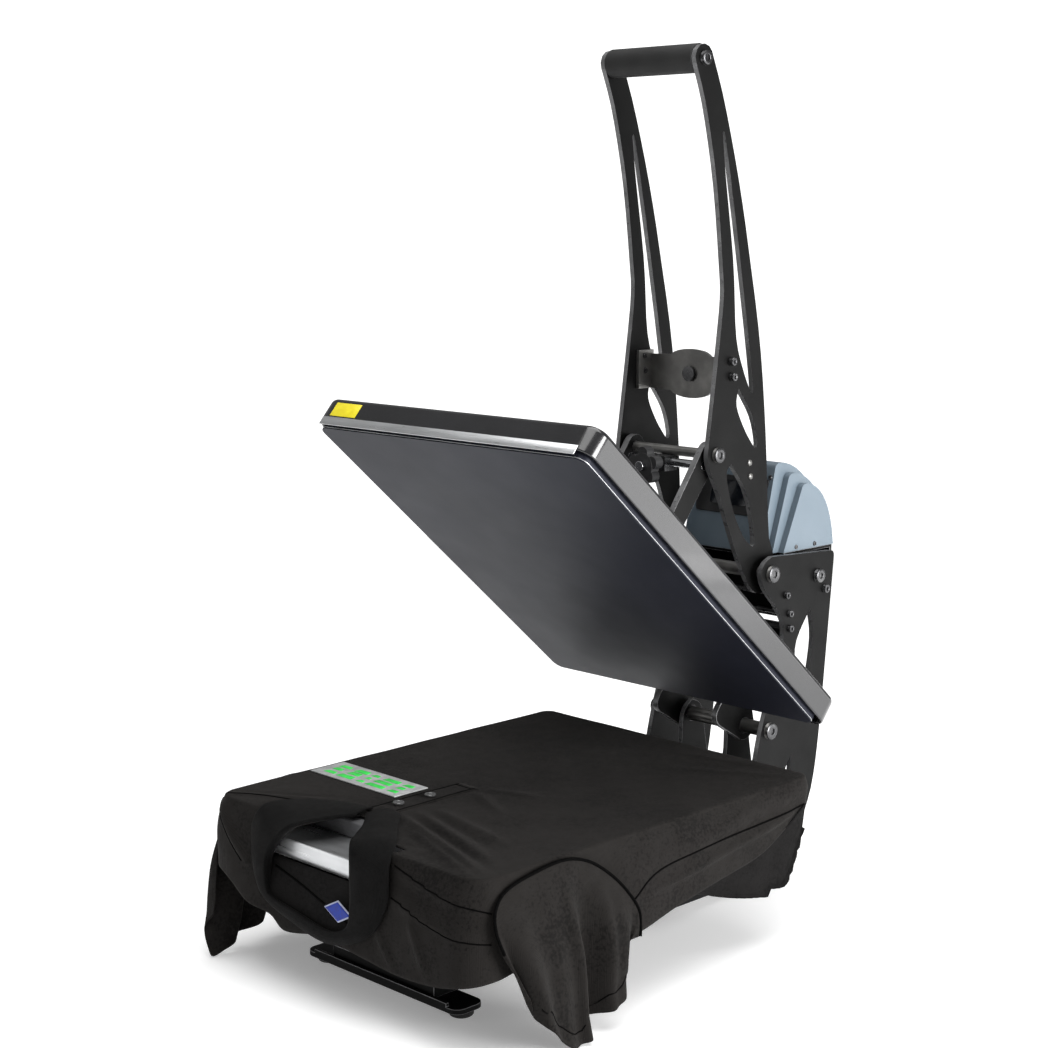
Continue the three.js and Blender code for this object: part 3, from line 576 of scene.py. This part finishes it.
# a darker copy of the same black knit, with less fuzz: painted shade for cloth under the platen and inside
# the neck
painted_shade_knit = knit_finish("shade_painted_black_knit", (0.0022, 0.0020, 0.0020), (0.0050, 0.0046, 0.0045), 0.015)
rib_knit = knit_finish("collar_rib", (0.0012, 0.0012, 0.0012), (0.0030, 0.0029, 0.0029), 0.015)
thread = new_finish("seam_thread", 0.8, specular=0.03)
colour_range(thread, noise(thread, 500, 3), [(0.4, (0.0008, 0.0008, 0.0008)),
                                             (0.7, (0.0020, 0.0019, 0.0019))])
rough_range(thread, noise(thread, 700, 2), 0.7, 0.95)
relief(thread, ripple(thread, 500, "DIAGONAL"), 0.5, 0.0004)
print("cloth finishes:", knit.name, painted_shade_knit.name, rib_knit.name, thread.name)

# %% [markdown]
# The front panel lies on top and hangs round all four sides. It is a ring net:
# stations follow the platen's outline, rows run from a short spine in the
# middle, over the edge, and down to the hem. A table says how low and how far
# out the hem hangs at each place.

# %% Front panel of the shirt
HALF, FRONT, REAR, TOP, ROUND = 204.5, -350.5, 160.5, 180.4, 3.0


def platen_outline(count):
    """Stations around the platen from the middle of its front edge to the right."""
    corners = []
    for cx, cy, radius, start in ((HALF, FRONT, 26, -90), (HALF, REAR, 14, 0), (-HALF, REAR, 14, 90),
                                  (-HALF, FRONT, 26, 180)):
        ox = cx - math.copysign(radius, cx)
        oy = cy + (radius if cy < 0 else -radius)
        for k in range(9):
            a = math.radians(start + 90 * k / 8)
            corners.append((ox + radius * math.cos(a), oy + radius * math.sin(a)))
    ring = np.array([(0, FRONT)] + corners + [(0, FRONT)])
    run = np.concatenate([[0], np.cumsum(np.linalg.norm(np.diff(ring, axis=0), axis=1))])
    at = np.linspace(0, run[-1], count, endpoint=False)
    return np.stack([np.interp(at, run, ring[:, k]) for k in (0, 1)], axis=1), at, run[-1]


STATIONS = 480
edge_line, edge_run, edge_total = platen_outline(STATIONS)
ahead = np.roll(edge_line, -1, axis=0) - np.roll(edge_line, 1, axis=0)
outward = np.stack([ahead[:, 1], -ahead[:, 0]], axis=1)
outward /= np.linalg.norm(outward, axis=1)[:, None]

# place on the outline, hem height, how far out the middle and the hem stand
HEM = [(0, FRONT, 70, 4, 5), (41, FRONT, 67, 4, 6), (102, FRONT, 64, 6, 8), (160, FRONT, 70, 8, 12),
       (190, -345, 78, 8, 14), (HALF, -320, 84, 6, 10), (HALF, -250, 88, 2, 2), (HALF, -185, 86, 3, 4),
       (HALF, -146, 81, 9, 15), (HALF, -75, 94, 10, 14), (HALF, -20, 101, 9, 10), (HALF, 57, 111, 6, 6),
       (HALF, 110, 129, 5, 3), (HALF, 146, 144, 3, 1), (150, REAR, 133, 2, 2), (0, REAR, 139, 3, 3),
       (-150, REAR, 133, 2, 2), (-HALF, 146, 144, 3, 1), (-HALF, 57, 111, 6, 6), (-HALF, -20, 101, 9, 10),
       (-HALF, -146, 84, 14, 20), (-HALF, -250, 90, 12, 16), (-HALF, -318, 100, 8, 8),
       (-190, -345, 104, 6, 6), (-160, FRONT, 97, 8, 12), (-132, FRONT, 81, 8, 14), (-99, FRONT, 75, 6, 10),
       (-74, FRONT, 62, 5, 8), (-22, FRONT, 71, 4, 6)]
places = [edge_run[np.argmin(np.hypot(edge_line[:, 0] - h[0], edge_line[:, 1] - h[1]))] for h in HEM]
table = curve([[p, h[2], h[3], h[4]] for p, h in zip(places, HEM)] + [[edge_total, *HEM[0][2:]]], 900)
hem_z, mid_out, hem_out = (np.interp(edge_run, table[:, 0], table[:, k]) for k in (1, 2, 3))


def top_relief(x, y):
    """Height of the folds on the top of the front panel."""
    lift = 3.4 * ridge(x, y, (0, -262), (196, -330), 5.5) + 2.6 * ridge(x, y, (4, -242), (180, -300), 6.5)
    lift += 2.0 * ridge(x, y, (10, -222), (150, -252), 7) + 1.4 * ridge(x, y, (-8, -150), (70, -186), 7)
    lift += 1.6 * ridge(x, y, (-12, -138), (60, -112), 8) + 2.4 * ridge(x, y, (30, -282), (200, -346), 5)
    lift -= 1.8 * ridge(x, y, (0, -252), (190, -314), 4.5) + 1.2 * ridge(x, y, (6, -232), (160, -276), 5)
    lift += 1.6 * ridge(x, y, (-196, -344), (-96, -276), 4.5) - 1.2 * ridge(x, y, (-190, -330), (-90, -264),
                                                                            5)
    lift += 0.9 * ridge(x, y, (200, 140), (60, 60), 9) + 0.7 * ridge(x, y, (170, 152), (20, 120), 8)
    lift += 0.35 * np.sin(x / 17 + 2 * np.sin(y / 60)) * np.sin(y / 23)
    return 0.85 * lift


def side_relief(run, fall):
    """How far the hanging cloth waves in and out; fall is 0 at the edge and 1 at the hem."""
    loose = smooth_step(fall, 0.05, 0.8)
    wave = 1.0 * np.sin(run / 41.0) + 0.5 * np.sin(run / 19.5 + 1.0)
    return loose * wave


rings = []
spine = np.stack([np.zeros(STATIONS), np.clip(edge_line[:, 1], -146, -44)], axis=1)
for t in np.linspace(1, 0, 52):
    flat = (1 - t) * (edge_line - outward * ROUND) + t * spine
    rings.append(np.column_stack([flat, TOP + top_relief(flat[:, 0], flat[:, 1])]))
for angle in (22.5, 45, 67.5, 90):
    a = math.radians(angle)
    flat = edge_line - outward * ROUND * (1 - math.sin(a))
    lift = top_relief(flat[:, 0], flat[:, 1]) * math.cos(a)
    rings.append(np.column_stack([flat, TOP - ROUND * (1 - math.cos(a)) + lift]))
falls = np.linspace(0, 1, 32)[1:]
for f in falls:
    out = 2 * mid_out * np.sin(np.pi * f) * (1 - f) * 0.8 + hem_out * smooth_step(f, 0.1, 1.0)
    out = out + side_relief(edge_run, f) + 0.6 * f
    x = edge_line[:, 0] + outward[:, 0] * out
    y = edge_line[:, 1] + outward[:, 1] * out
    z = (TOP - ROUND) + (hem_z - TOP + ROUND) * f
    front_face = smooth_step(-y, 330, 348)
    y = y - front_face * (3.0 * ridge(x, z, (-200, 176), (-122, 118), 5) + 3.4 * ridge(x, z, (90, 168),
                                                                                       (214, 158), 5)
                          + 2.6 * ridge(x, z, (92, 138), (220, 124), 5) - 2.0 * ridge(x, z, (92, 154),
                                                                                      (214, 142), 5)
                          + 2.6 * ridge(x, z, (120, 130), (150, 70), 6) + 2.2 * ridge(x, z, (60, 120),
                                                                                      (96, 66), 6))
    right_face = smooth_step(x, 190, 204)
    x = x + right_face * (3.2 * ridge(y, z, (148, 148), (-146, 116), 4) - 2.2 * ridge(y, z, (148, 158),
                                                                                      (-140, 132), 6)
                          + 1.8 * ridge(y, z, (100, 172), (-60, 150), 7))
    rings.append(np.column_stack([x, y, z]))
NECK_TOP = [(-30, -292), (-72, -292), (-108, -308), (-121, -352), (-121, -372), (84, -372), (84, -352),
            (60, -332), (-4, -290)]
NECK_FRONT = [(-125, 190), (-125, 140), (-106, 100), (0, 76), (82, 132), (84, 190)]


def in_neck(middle):
    if middle.z > 176 and inside((middle.x, middle.y), NECK_TOP):
        return True
    return middle.y < -330 and middle.z <= 181 and inside((middle.x, middle.z), NECK_FRONT)


shirt_body, body_area = cloth_sheet("shirt_body", np.array(rings), knit, thick=1.2, around=True, drop=in_neck)
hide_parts("garment")
print("front panel:", len(shirt_body.data.vertices), "vertices")

# %% [markdown]
# The back panel hangs under the platen like a hammock, from one side seam to
# the other. Its tail sags lower near the rear, where it shows below the side.

# %% Back panel
BACK = [(-330, 84, 76), (-250, 84, 78), (-146, 80, 78), (-75, 92, 88), (-39, 97, 89), (30, 106, 72),
        (80, 119, 62), (118, 133, 55), (136, 143, 84), (150, 151, 118)]
across = [(207, 0.0), (203, 0.10), (196, 0.55), (188, 0.96), (172, 1.05), (110, 1.12), (0, 1.15)]
across = across + [(-x, s) for x, s in reversed(across[:-1])]
back_net = []
for y, high, low in curve(BACK, 90):
    sag = 1.0 if y < 90 else 0.85
    tuck = 0.22 + 0.78 * (1 - float(smooth_step(y, -60, 60)))
    row = [(math.copysign(208 - (208 - abs(x)) * (tuck if abs(x) > 170 else 1), x), y + 2 * math.sin(x / 40),
            high + (low - high) * share * sag) for x, share in across]
    back_net.append(curve(row, 120))
back_net = np.array(back_net)
back_net[..., 2] += 2.0 * np.sin(back_net[..., 0] / 21 + back_net[..., 1] / 50) * smooth_step(
    210 - np.abs(back_net[..., 0]), 4, 40)
# the back panel wears the darker knit copy: painted shade under the platen
back_panel, back_area = cloth_sheet("shirt_back_panel", back_net, painted_shade_knit, thick=1.2)

# %% [markdown]
# Each sleeve is set into an armhole at a front corner and falls as a tapered
# tube pressed flat, with one deep fold and an open end. The net runs from the
# armhole seam down to the sleeve's hem.

# %% Sleeves
def sleeve_net(arch, hem, folds, side):
    """Points (y, z, x) along the armhole and along the hem, joined by a bulging fall."""
    top_line, low_line = curve(arch, 130), curve(hem, 130)
    across_share = np.linspace(0, 1, 130)
    rows = []
    for f in np.linspace(0, 1, 60):
        line = (1 - f) * top_line + f * low_line
        out = 9 * math.sin(math.pi * min(1, f * 1.15)) * np.sin(np.pi * across_share) ** 0.5
        for place, height, width in folds:
            out = out + height * smooth_step(f, 0.0, 0.55) * np.exp(-((across_share - place) / width) ** 2)
        out = out + 1.2 * f * np.sin(across_share * 34 + f * 3)
        rows.append(np.column_stack([side * (line[:, 2] + out), line[:, 0], line[:, 1]]))
    return np.array(rows)


ARMHOLE = [(-336, 112, 224), (-341, 134, 220), (-336, 154, 214), (-318, 168, 210), (-280, 176, 209),
           (-238, 179, 209), (-205, 170, 210), (-178, 151, 215), (-160, 130, 222), (-149, 108, 228),
           (-152, 84, 232)]
SLEEVE_HEM = [(-310, 64, 236), (-302, 42, 240), (-284, 22, 243), (-266, 6, 244), (-252, 2, 243),
              (-238, 5, 240), (-226, 12, 236), (-214, 17, 232), (-196, 24, 234), (-180, 31, 236),
              (-174, 52, 230), (-184, 80, 224)]
FOLDS = [(0.10, -8, 0.04), (0.20, 9, 0.07), (0.36, 3, 0.05), (0.47, 9, 0.03), (0.56, -15, 0.05),
         (0.66, 8, 0.035), (0.74, 5, 0.06), (0.88, -4, 0.05)]
right_sleeve, sleeve_area = cloth_sheet("shirt_sleeve_right", sleeve_net(ARMHOLE, SLEEVE_HEM, FOLDS, 1), knit)
LEFT_ARMHOLE = [(-336, 116, 214), (-338, 136, 213), (-332, 156, 210), (-316, 168, 209), (-280, 176, 208),
                (-238, 179, 208), (-205, 170, 209), (-178, 151, 211), (-150, 110, 216)]
LEFT_HEM = [(-356, 74, 206), (-364, 40, 202), (-366, 7, 198), (-358, 1, 196), (-334, 9, 198),
            (-296, 32, 204), (-250, 54, 212), (-205, 72, 220)]
left_sleeve, left_area = cloth_sheet("shirt_sleeve_left", sleeve_net(LEFT_ARMHOLE, LEFT_HEM, FOLDS, -1), knit)

# %% [markdown]
# The collar is a doubled rib band. It opens over the front edge of the platen,
# so the bare metal edge and the inside of the neck show through it.

# %% Collar
COLLAR_SEAM = [(-37, -270, 183), (-74, -279, 183), (-113, -304, 183), (-127, -348, 181), (-133, -357, 140),
               (-113, -359, 94), (-60, -360, 76), (0, -360, 69), (60, -361, 92), (89, -361, 130),
               (91, -359, 172),
               (70, -331, 184), (34, -298, 184), (4, -268, 183), (-20, -258, 183)]
COLLAR_RIM = [(-30, -300, 184), (-42, -326, 184), (-56, -352, 181), (-66, -364, 175), (-88, -367, 152),
              (-95, -368, 134), (-95, -368, 110), (-86, -368, 99), (-44, -368, 92), (5, -368, 86),
              (35, -368, 97),
              (43, -369, 123), (42, -368, 156), (36, -362, 182), (24, -345, 185), (4, -318, 185),
              (-22, -292, 185)]
seam_line, rim_line = curve(COLLAR_SEAM, 190), curve(COLLAR_RIM, 190)
collar_net = []
for f in np.linspace(0, 1, 22):
    line = (1 - f) * seam_line + f * rim_line
    swell = 3.6 * math.sin(math.pi * min(1.0, f * 0.92 + 0.05))
    facing = smooth_step(-line[:, 1], 335, 358)
    line[:, 1] -= facing * swell
    line[:, 2] += (1 - facing) * swell * 0.5
    collar_net.append(line)
inward = rim_line.copy()
inward[:, 1] += 8
inward[:, 2] -= 3
collar_net.append(0.5 * rim_line + 0.5 * inward + [0, -1, 0])
collar_net.append(inward)
collar, collar_area = cloth_sheet("shirt_collar", np.array(collar_net), rib_knit, thick=1.6)

neck_net = []
for f in np.linspace(0, 1, 16):
    row = [(x, -353 - 12 * f, 138 - f * (138 - low)) for x,
           low in ((-104, 104), (-70, 88), (0, 78), (52, 92))]
    neck_net.append(curve(row, 60))
# the back of the neck wears the darker knit copy: painted shade inside the collar
neck_back, neck_area = cloth_sheet("shirt_neck_back", np.array(neck_net), painted_shade_knit, thick=0.9)

# %% [markdown]
# Two rows of stitching hold each seam. A seam is a narrow welt that follows the
# cloth: its line is dropped onto the panel, then given a low round section.

# %% Seams and stitching
from mathutils.bvhtree import BVHTree


def cloth_tree(*pieces):
    verts, faces = [], []
    for piece in pieces:
        base = len(verts)
        verts += [v.co.copy() for v in piece.data.vertices]
        faces += [[base + i for i in p.vertices] for p in piece.data.polygons]
    return BVHTree.FromPolygons(verts, faces)


def welt(name, tree, points, width=2.2, height=0.9, lift=0.5, finish=None):
    """A low rounded welt along a line that is dropped onto the cloth."""
    line = curve(points, max(24, int(len(points) * 14)))
    laid, facing = [], []
    for p in line:
        spot, normal, _, _ = tree.find_nearest(Vector(p) * MM)
        outwards = Vector(p) * MM - Vector((0, -0.1, 0.1))
        if normal.dot(outwards) < 0:
            normal = -normal
        laid.append(np.array(spot) / MM)
        facing.append(np.array(normal))
    laid, facing = np.array(laid), np.array(facing)
    ahead = np.gradient(laid, axis=0)
    ahead /= np.linalg.norm(ahead, axis=1)[:, None] + 1e-9
    side = np.cross(ahead, facing)
    section = [(-0.5, -0.2), (-0.4, 0.7), (0, 1), (0.4, 0.7), (0.5, -0.2)]
    net = np.array([laid + side * width * s + facing * (lift + height * h) for s, h in section])
    mesh = bmesh.new()
    verts = [[mesh.verts.new(Vector(net[r, c]) * MM) for r in range(5)] for c in range(len(line))]
    for a, b in zip(verts, verts[1:]):
        for k in range(5):
            mesh.faces.new((a[k], a[(k + 1) % 5], b[(k + 1) % 5], b[k]))
    mesh.faces.new(verts[0])
    mesh.faces.new(verts[-1][::-1])
    bmesh.ops.recalc_face_normals(mesh, faces=mesh.faces)
    shade_by_angle(mesh, 60)
    return link_piece(name, mesh, [finish or thread], "base")


body_tree = cloth_tree(shirt_body)
welt("seam_side_right", body_tree, [(210, 148, 150), (212, 60, 147), (214, -94, 140), (218, -146, 118)])
welt("seam_yoke_front", body_tree, [(92, -354, 172), (140, -356, 163), (190, -356, 156), (220, -340, 151)],
     1.6)
welt("seam_yoke_low", body_tree, [(92, -356, 140), (140, -358, 131), (190, -358, 124), (222, -342, 120)], 1.6)
welt("seam_front_edge", body_tree, [(-194, -342, 182), (-150, -318, 183), (-110, -300, 183),
                                    (-80, -284, 183)], 1.6)
welt("seam_shoulder_left", body_tree, [(-200, -344, 176), (-170, -356, 150), (-140, -358, 124)], 1.6)
both = cloth_tree(shirt_body, right_sleeve)
welt("seam_armhole_right", both, [(y[2] + 3, y[0], y[1]) for y in ARMHOLE], 3.2, 1.3, 0.9)
sleeve_tree = cloth_tree(right_sleeve)
hem_stitch = [(x + 2, y + 5 * (-1 if y > -240 else 0.4), z + 14) for y, z, x in SLEEVE_HEM[1:-1]]
welt("seam_sleeve_hem", sleeve_tree, hem_stitch, 1.4, 0.6)
neck_tree = cloth_tree(neck_back)
welt("seam_neck_tape", neck_tree, [(-92, -356, 128), (-50, -357, 119), (0, -360, 106), (50, -362, 94)], 2.4)

# %% [markdown]
# The placket is a doubled strip sewn over the opening under the collar. Two
# four-hole buttons close it. Beside it lies the printed patch that the press
# has just fixed, and a woven size tag is sewn inside the neck.

# %% Placket, buttons, patch and tag
def laid_strip(name, corners, height, finish, cells=(10, 40)):
    """A thin raised strip on the top of the shirt, between four corners."""
    a, b, c, d = (np.array(p, float) for p in corners)
    rows = []
    for f in np.linspace(0, 1, cells[0]):
        row = []
        for g in np.linspace(0, 1, cells[1]):
            x, y = (1 - g) * ((1 - f) * a + f * b) + g * ((1 - f) * d + f * c)
            rim = min(f, 1 - f) * cells[0] * 0.8
            row.append((x, y, TOP + float(top_relief(np.float64(x), np.float64(y))) + 0.7
                        + height * min(1.0, 0.35 + rim)))
        rows.append(row)
    return cloth_sheet(name, np.array(rows), finish, thick=0.8)


placket, placket_area = laid_strip("shirt_placket", [(-46, -276), (-12, -276), (-14, -140), (-44, -140)],
                                   0.5, knit)
top_tree = cloth_tree(shirt_body, placket)
welt("seam_placket_left", top_tree, [(-44, -272, 184), (-43, -206, 184), (-42, -143, 184)], 1.0, 0.5)
welt("seam_placket_right", top_tree, [(-15, -272, 184), (-16, -206, 184), (-17, -143, 184)], 1.0, 0.5)
welt("seam_placket_end", top_tree, [(-42, -148, 184), (-30, -148, 184), (-17, -148, 184)], 1.0, 0.5)

pearl = new_finish("button_resin", 0.22, coat=0.4)
colour_range(pearl, noise(pearl, 200, 3), [(0.35, (0.035, 0.035, 0.036)), (0.7, (0.10, 0.10, 0.10))])
rough_range(pearl, noise(pearl, 300, 3), 0.15, 0.32)
relief(pearl, noise(pearl, 260, 2), 0.1, 0.0003)


def turned(name, outline, centre, finish, body, axis="Z", steps=36, holes=0):
    """A round piece spun from an outline of (radius, height) about an axis through centre."""
    mesh = bmesh.new()
    line = [mesh.verts.new((r * MM, 0, h * MM)) for r, h in outline]
    edges = [mesh.edges.new(pair) for pair in zip(line, line[1:])]
    bmesh.ops.spin(mesh, geom=line + edges, axis=(0, 0, 1), cent=(0, 0, 0), steps=steps,
                   angle=2 * math.pi, use_merge=True)
    bmesh.ops.remove_doubles(mesh, verts=mesh.verts, dist=0.01 * MM)
    if holes:
        for v in mesh.verts:
            radius = math.hypot(v.co.x, v.co.y) / MM
            if abs(radius - holes) < 0.02 and radius > 0:
                swing = math.atan2(v.co.y, v.co.x)
                flat = math.cos(math.pi / 6) / math.cos((swing % (math.pi / 3)) - math.pi / 6)
                v.co.x *= flat
                v.co.y *= flat
    bmesh.ops.recalc_face_normals(mesh, faces=mesh.faces)
    turn = {"Z": Matrix(), "X": Matrix.Rotation(math.pi / 2, 4, "Y"),
            "-X": Matrix.Rotation(-math.pi / 2, 4, "Y"),
            "-Y": Matrix.Rotation(math.pi / 2, 4, "X"), "Y": Matrix.Rotation(-math.pi / 2, 4, "X")}[axis] \
        if isinstance(axis, str) else Vector((0, 0, 1)).rotation_difference(Vector(axis)).to_matrix().to_4x4()
    bmesh.ops.transform(mesh, matrix=Matrix.Translation(Vector(centre) * MM) @ turn, verts=mesh.verts)
    shade_by_angle(mesh, 35)
    return link_piece(name, mesh, [finish], body)


BUTTON = [(0, 0), (5.6, 0), (6.2, 0.6), (6.2, 1.5), (5.6, 2.2), (4.6, 2.1), (4.0, 1.5), (0, 1.4)]
for number, (x, y) in enumerate([(-29, -242), (-27, -199)], 1):
    turned(f"button_{number}", BUTTON, (x, y, TOP + 3.2), pearl, "base")

silver_film = new_finish("silver_film", 0.40, metallic=0.25)
colour_range(silver_film, noise(silver_film, 90, 5), [(0.35, (0.42, 0.43, 0.43)), (0.7, (0.60, 0.61, 0.61))])
rough_range(silver_film, noise(silver_film, 150, 3), 0.32, 0.52)
relief(silver_film, noise(silver_film, 500, 2), 0.2, 0.0003)
green_print = new_finish("green_print", 0.5)
colour_range(green_print, noise(green_print, 120, 4), [(0.35, (0.02, 0.60, 0.06)), (0.7, (0.06, 0.85, 0.12))])
rough_range(green_print, noise(green_print, 160, 3), 0.42, 0.60)
relief(green_print, noise(green_print, 600, 2), 0.2, 0.0003)


def flat_tile(name, outline, z0, z1, finish, body="base", edge=0.15):
    """A thin flat tile from an outline of (x, y) points."""
    mesh = bmesh.new()
    low = [mesh.verts.new((x * MM, y * MM, z0 * MM)) for x, y in outline]
    face = mesh.faces.new(low)
    made = bmesh.ops.extrude_face_region(mesh, geom=[face])
    bmesh.ops.translate(mesh, vec=(0, 0, (z1 - z0) * MM),
                        verts=[g for g in made["geom"] if isinstance(g, bmesh.types.BMVert)])
    bmesh.ops.bevel(mesh, geom=list(mesh.edges), offset=edge * MM, offset_type="OFFSET", segments=2,
                    profile=0.5, affect="EDGES", clamp_overlap=True, material=-1)
    bmesh.ops.recalc_face_normals(mesh, faces=mesh.faces)
    shade_by_angle(mesh, 50)
    return link_piece(name, mesh, [finish], body)


PATCH = [(-196, -226), (-54, -226), (-54, -178), (-196, -178)]
flat_tile("print_patch", PATCH, TOP + 0.8, TOP + 2.0, silver_film)
bars = [(-186, 20, 7), (-162, 26, 9), (-132, 14, 6), (-114, 30, 8), (-80, 18, 7)]
for number, (x, length, wide) in enumerate(bars, 1):
    for row, y in enumerate((-214, -201, -190)):
        shift = (number * 5 + row * 7) % 9
        x0, x1 = x + shift * 0.5, x + length - (row * 3) % 5
        outline = [(x0, y - wide / 2), (x1, y - wide / 2), (x1 - 2, y + wide / 2), (x0 + 2, y + wide / 2)]
        flat_tile(f"print_bar_{number}_{row + 1}", outline, TOP + 1.9, TOP + 2.3, green_print, edge=0.08)

tag_blue = new_finish("tag_weave", 0.7)
colour_range(tag_blue, noise(tag_blue, 300, 4), [(0.35, (0.006, 0.020, 0.22)), (0.7, (0.012, 0.045, 0.38))])
rough_range(tag_blue, noise(tag_blue, 300, 3), 0.6, 0.8)
relief(tag_blue, ripple(tag_blue, 500, "X"), 0.4, 0.0003)
tag_pale = new_finish("tag_border", 0.7)
colour_range(tag_pale, noise(tag_pale, 300, 4), [(0.35, (0.35, 0.38, 0.50)), (0.7, (0.50, 0.53, 0.66))])
rough_range(tag_pale, noise(tag_pale, 300, 3), 0.6, 0.8)
relief(tag_pale, ripple(tag_pale, 500, "X"), 0.4, 0.0003)


def tag_sheet(name, reach, y, finish):
    rows = []
    for f in np.linspace(-1, 1, 9):
        rows.append([(21 + reach * (g - f) * 0.62, y, 110 + reach * (g + f) * 0.33) for g in np.linspace(-1,
                                                                                                         1,
                                                                                                         9)])
    return cloth_sheet(name, np.array(rows), finish, thick=0.7)


for name, reach, y, finish in (("size_tag_border", 17.5, -366.5, tag_pale),
                               ("size_tag", 15, -367.4, tag_blue)):
    tag, tag_area = tag_sheet(name, reach, y, finish)
print("placket, buttons, patch and tag made")

# %% [markdown]
# Every shaft and tie rod ends in a socket-head cap. Each cap is turned: a domed
# rim, a chamfered mouth and a sunk socket, whose wall is pressed to a hexagon.

# %% Socket caps, rivets and screws
def socket_cap(name, centre, axis, radius, body, finish=None, tall=2.2):
    r = radius
    outline = [(0, 0.35), (r * 0.44, 0.35), (r * 0.44, tall * 0.80), (r * 0.56, tall),
               (r * 0.84, tall * 0.93),
               (r * 0.97, tall * 0.62), (r, tall * 0.3), (r, 0.0), (0, 0.0)]
    return turned(name, outline, centre, finish or black_oxide, body, axis=axis, holes=r * 0.44)


def node_ends(node):
    """The two ends of a cross shaft in millimetres, at rest: (x, y, z) of each head's face."""
    (x0, y0, z0), (x1, y1, z1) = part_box(node)
    y, z = (y0 + y1) / 2 / MM, (z0 + z1) / 2 / MM
    return (x0 / MM, y, z), (x1 / MM, y, z), (z1 - z0) / 2 / MM


for node, body in (("hinge_shaft", "base"), ("handle_shaft", "base"), ("rear_tie_rod", "base"),
                   ("rear_spacer_rod", "base"), ("upper_spacer_rod", "base"), ("middle_spacer_rod", "base"),
                   ("lower_spacer_rod", "base"), ("toggle_shaft", "press_handle"),
                   ("grip_rod", "press_handle"),
                   ("bracket_bolt_left_1", "press_handle"), ("bracket_bolt_left_2", "press_handle"),
                   ("bracket_bolt_right_1", "press_handle"), ("bracket_bolt_right_2", "press_handle")):
    left, right, radius = node_ends(node)
    if "bolt_right" not in node:
        socket_cap(node + "_cap_left", (left[0] + 0.1, left[1], left[2]), "-X", radius * 0.98, body)
    if "bolt_left" not in node:
        socket_cap(node + "_cap_right", (right[0] - 0.1, right[1], right[2]), "X", radius * 0.98, body)
for side, axis in ((-1, "-X"), (1, "X")):
    for number, (y, z) in enumerate(((211, 513), (213, 497)), 1):
        word = "right" if side > 0 else "left"
        turned(f"arm_rivet_{word}_{number}", [(0, 1.9), (1.6, 1.8), (3.2, 1.1), (3.8, 0.1), (3.8, -0.4),
                                              (0, -0.4)],
               (side * 70.2, y, z), dark_steel, "press_handle", axis=axis)
        screw_y = 288 + 36 * number
        turned(f"hood_screw_{word}_{number}", [(0, 0.5), (1.2, 0.5), (1.4, 1.2), (2.4, 1.1), (2.9, 0.2),
                                               (2.9, -0.5), (0, -0.5)],
               (side * 76.0, screw_y - 30, 405.5), black_oxide, "base", axis=axis)
lean = (0, -math.cos(math.atan2(24, 99)), math.sin(math.atan2(24, 99)))
for number, x in enumerate((-55, 55), 1):
    turned(f"hood_face_screw_{number}", [(0, 0.5), (1.2, 0.5), (1.4, 1.2), (2.4, 1.1), (2.9, 0.2),
                                         (2.9, -0.5), (0, -0.5)],
           (x, 248 + 88 * 24 / 99, 489), black_oxide, "base", axis=lean)
for number, x in enumerate((-68, 68), 1):
    turned(f"base_screw_{number}", [(0, 0.6), (1.6, 0.6), (1.8, 1.8), (3.4, 1.5), (4.2, 0.3), (4.2, -0.3),
                                    (0, -0.3)],
           (x, -278, 28.1), chrome, "base")

# %% [markdown]
# A folded sheet-metal panel closes the column behind the tie rods, under the
# hood. It hides the wiring between the hood and the heat platen.

# %% Column panel
panel_mesh = bmesh.new()
bmesh.ops.create_cube(panel_mesh, size=1.0, matrix=Matrix.Translation((0, 0.2835, 0.358))
                      @ Matrix.Diagonal((0.158, 0.004, 0.074, 1)))
bmesh.ops.bevel(panel_mesh, geom=list(panel_mesh.edges), offset=0.8 * MM, offset_type="OFFSET", segments=2,
                profile=0.5, affect="EDGES", clamp_overlap=True, material=-1)
bmesh.ops.recalc_face_normals(panel_mesh, faces=panel_mesh.faces)
shade_by_angle(panel_mesh, 40)
column_panel = link_piece("column_panel", panel_mesh, [powder_coat], "base")
print("panel:", column_panel.name)

# %% [markdown]
# On the real press the heated plate's own front side shows as a bright band under
# the cover. Here the cover hides most of that side, so a thin strip laid in front
# of the cover stands in for it. It isn't a piece of the real press. Above it sits
# a plain yellow sticker. Both are drawn closed and swung open with the platen.

# %% Front strip and sticker
yellow_film = new_finish("yellow_film", 0.38, coat=0.2)
colour_range(yellow_film, noise(yellow_film, 120, 4), [(0.35, (0.82, 0.68, 0.01)), (0.7, (0.92, 0.80, 0.02))])
rough_range(yellow_film, noise(yellow_film, 200, 3), 0.30, 0.46)
relief(yellow_film, noise(yellow_film, 400, 2), 0.08, 0.0003)
hinge_y, hinge_z = 236.0, 194.0
open_angle = 41.26
turn_open = Matrix.Rotation(math.radians(-open_angle), 4, "X")
to_hinge = Matrix.Translation((0, hinge_y * MM, hinge_z * MM))
swing = to_hinge @ turn_open @ Matrix.Translation((0, -hinge_y * MM, -hinge_z * MM))
stand_up = Matrix.Rotation(math.radians(90), 4, "X")
sticker = flat_tile("cover_sticker", [(-184, 195.5), (-142, 195.5), (-142, 213), (-184, 213)], 346.1, 346.4,
                    yellow_film, body="heat_platen", edge=0.1)
strip = flat_tile("front_edge_strip", [(-192, 183.2), (192, 183.2), (192, 193.6), (-192, 193.6)], 346.1,
                  347.2,
                  cast_aluminium, body="heat_platen", edge=0.3)
for piece in (sticker, strip):
    piece.data.transform(swing @ stand_up)
print("on the front:", sticker.name, "and", strip.name)
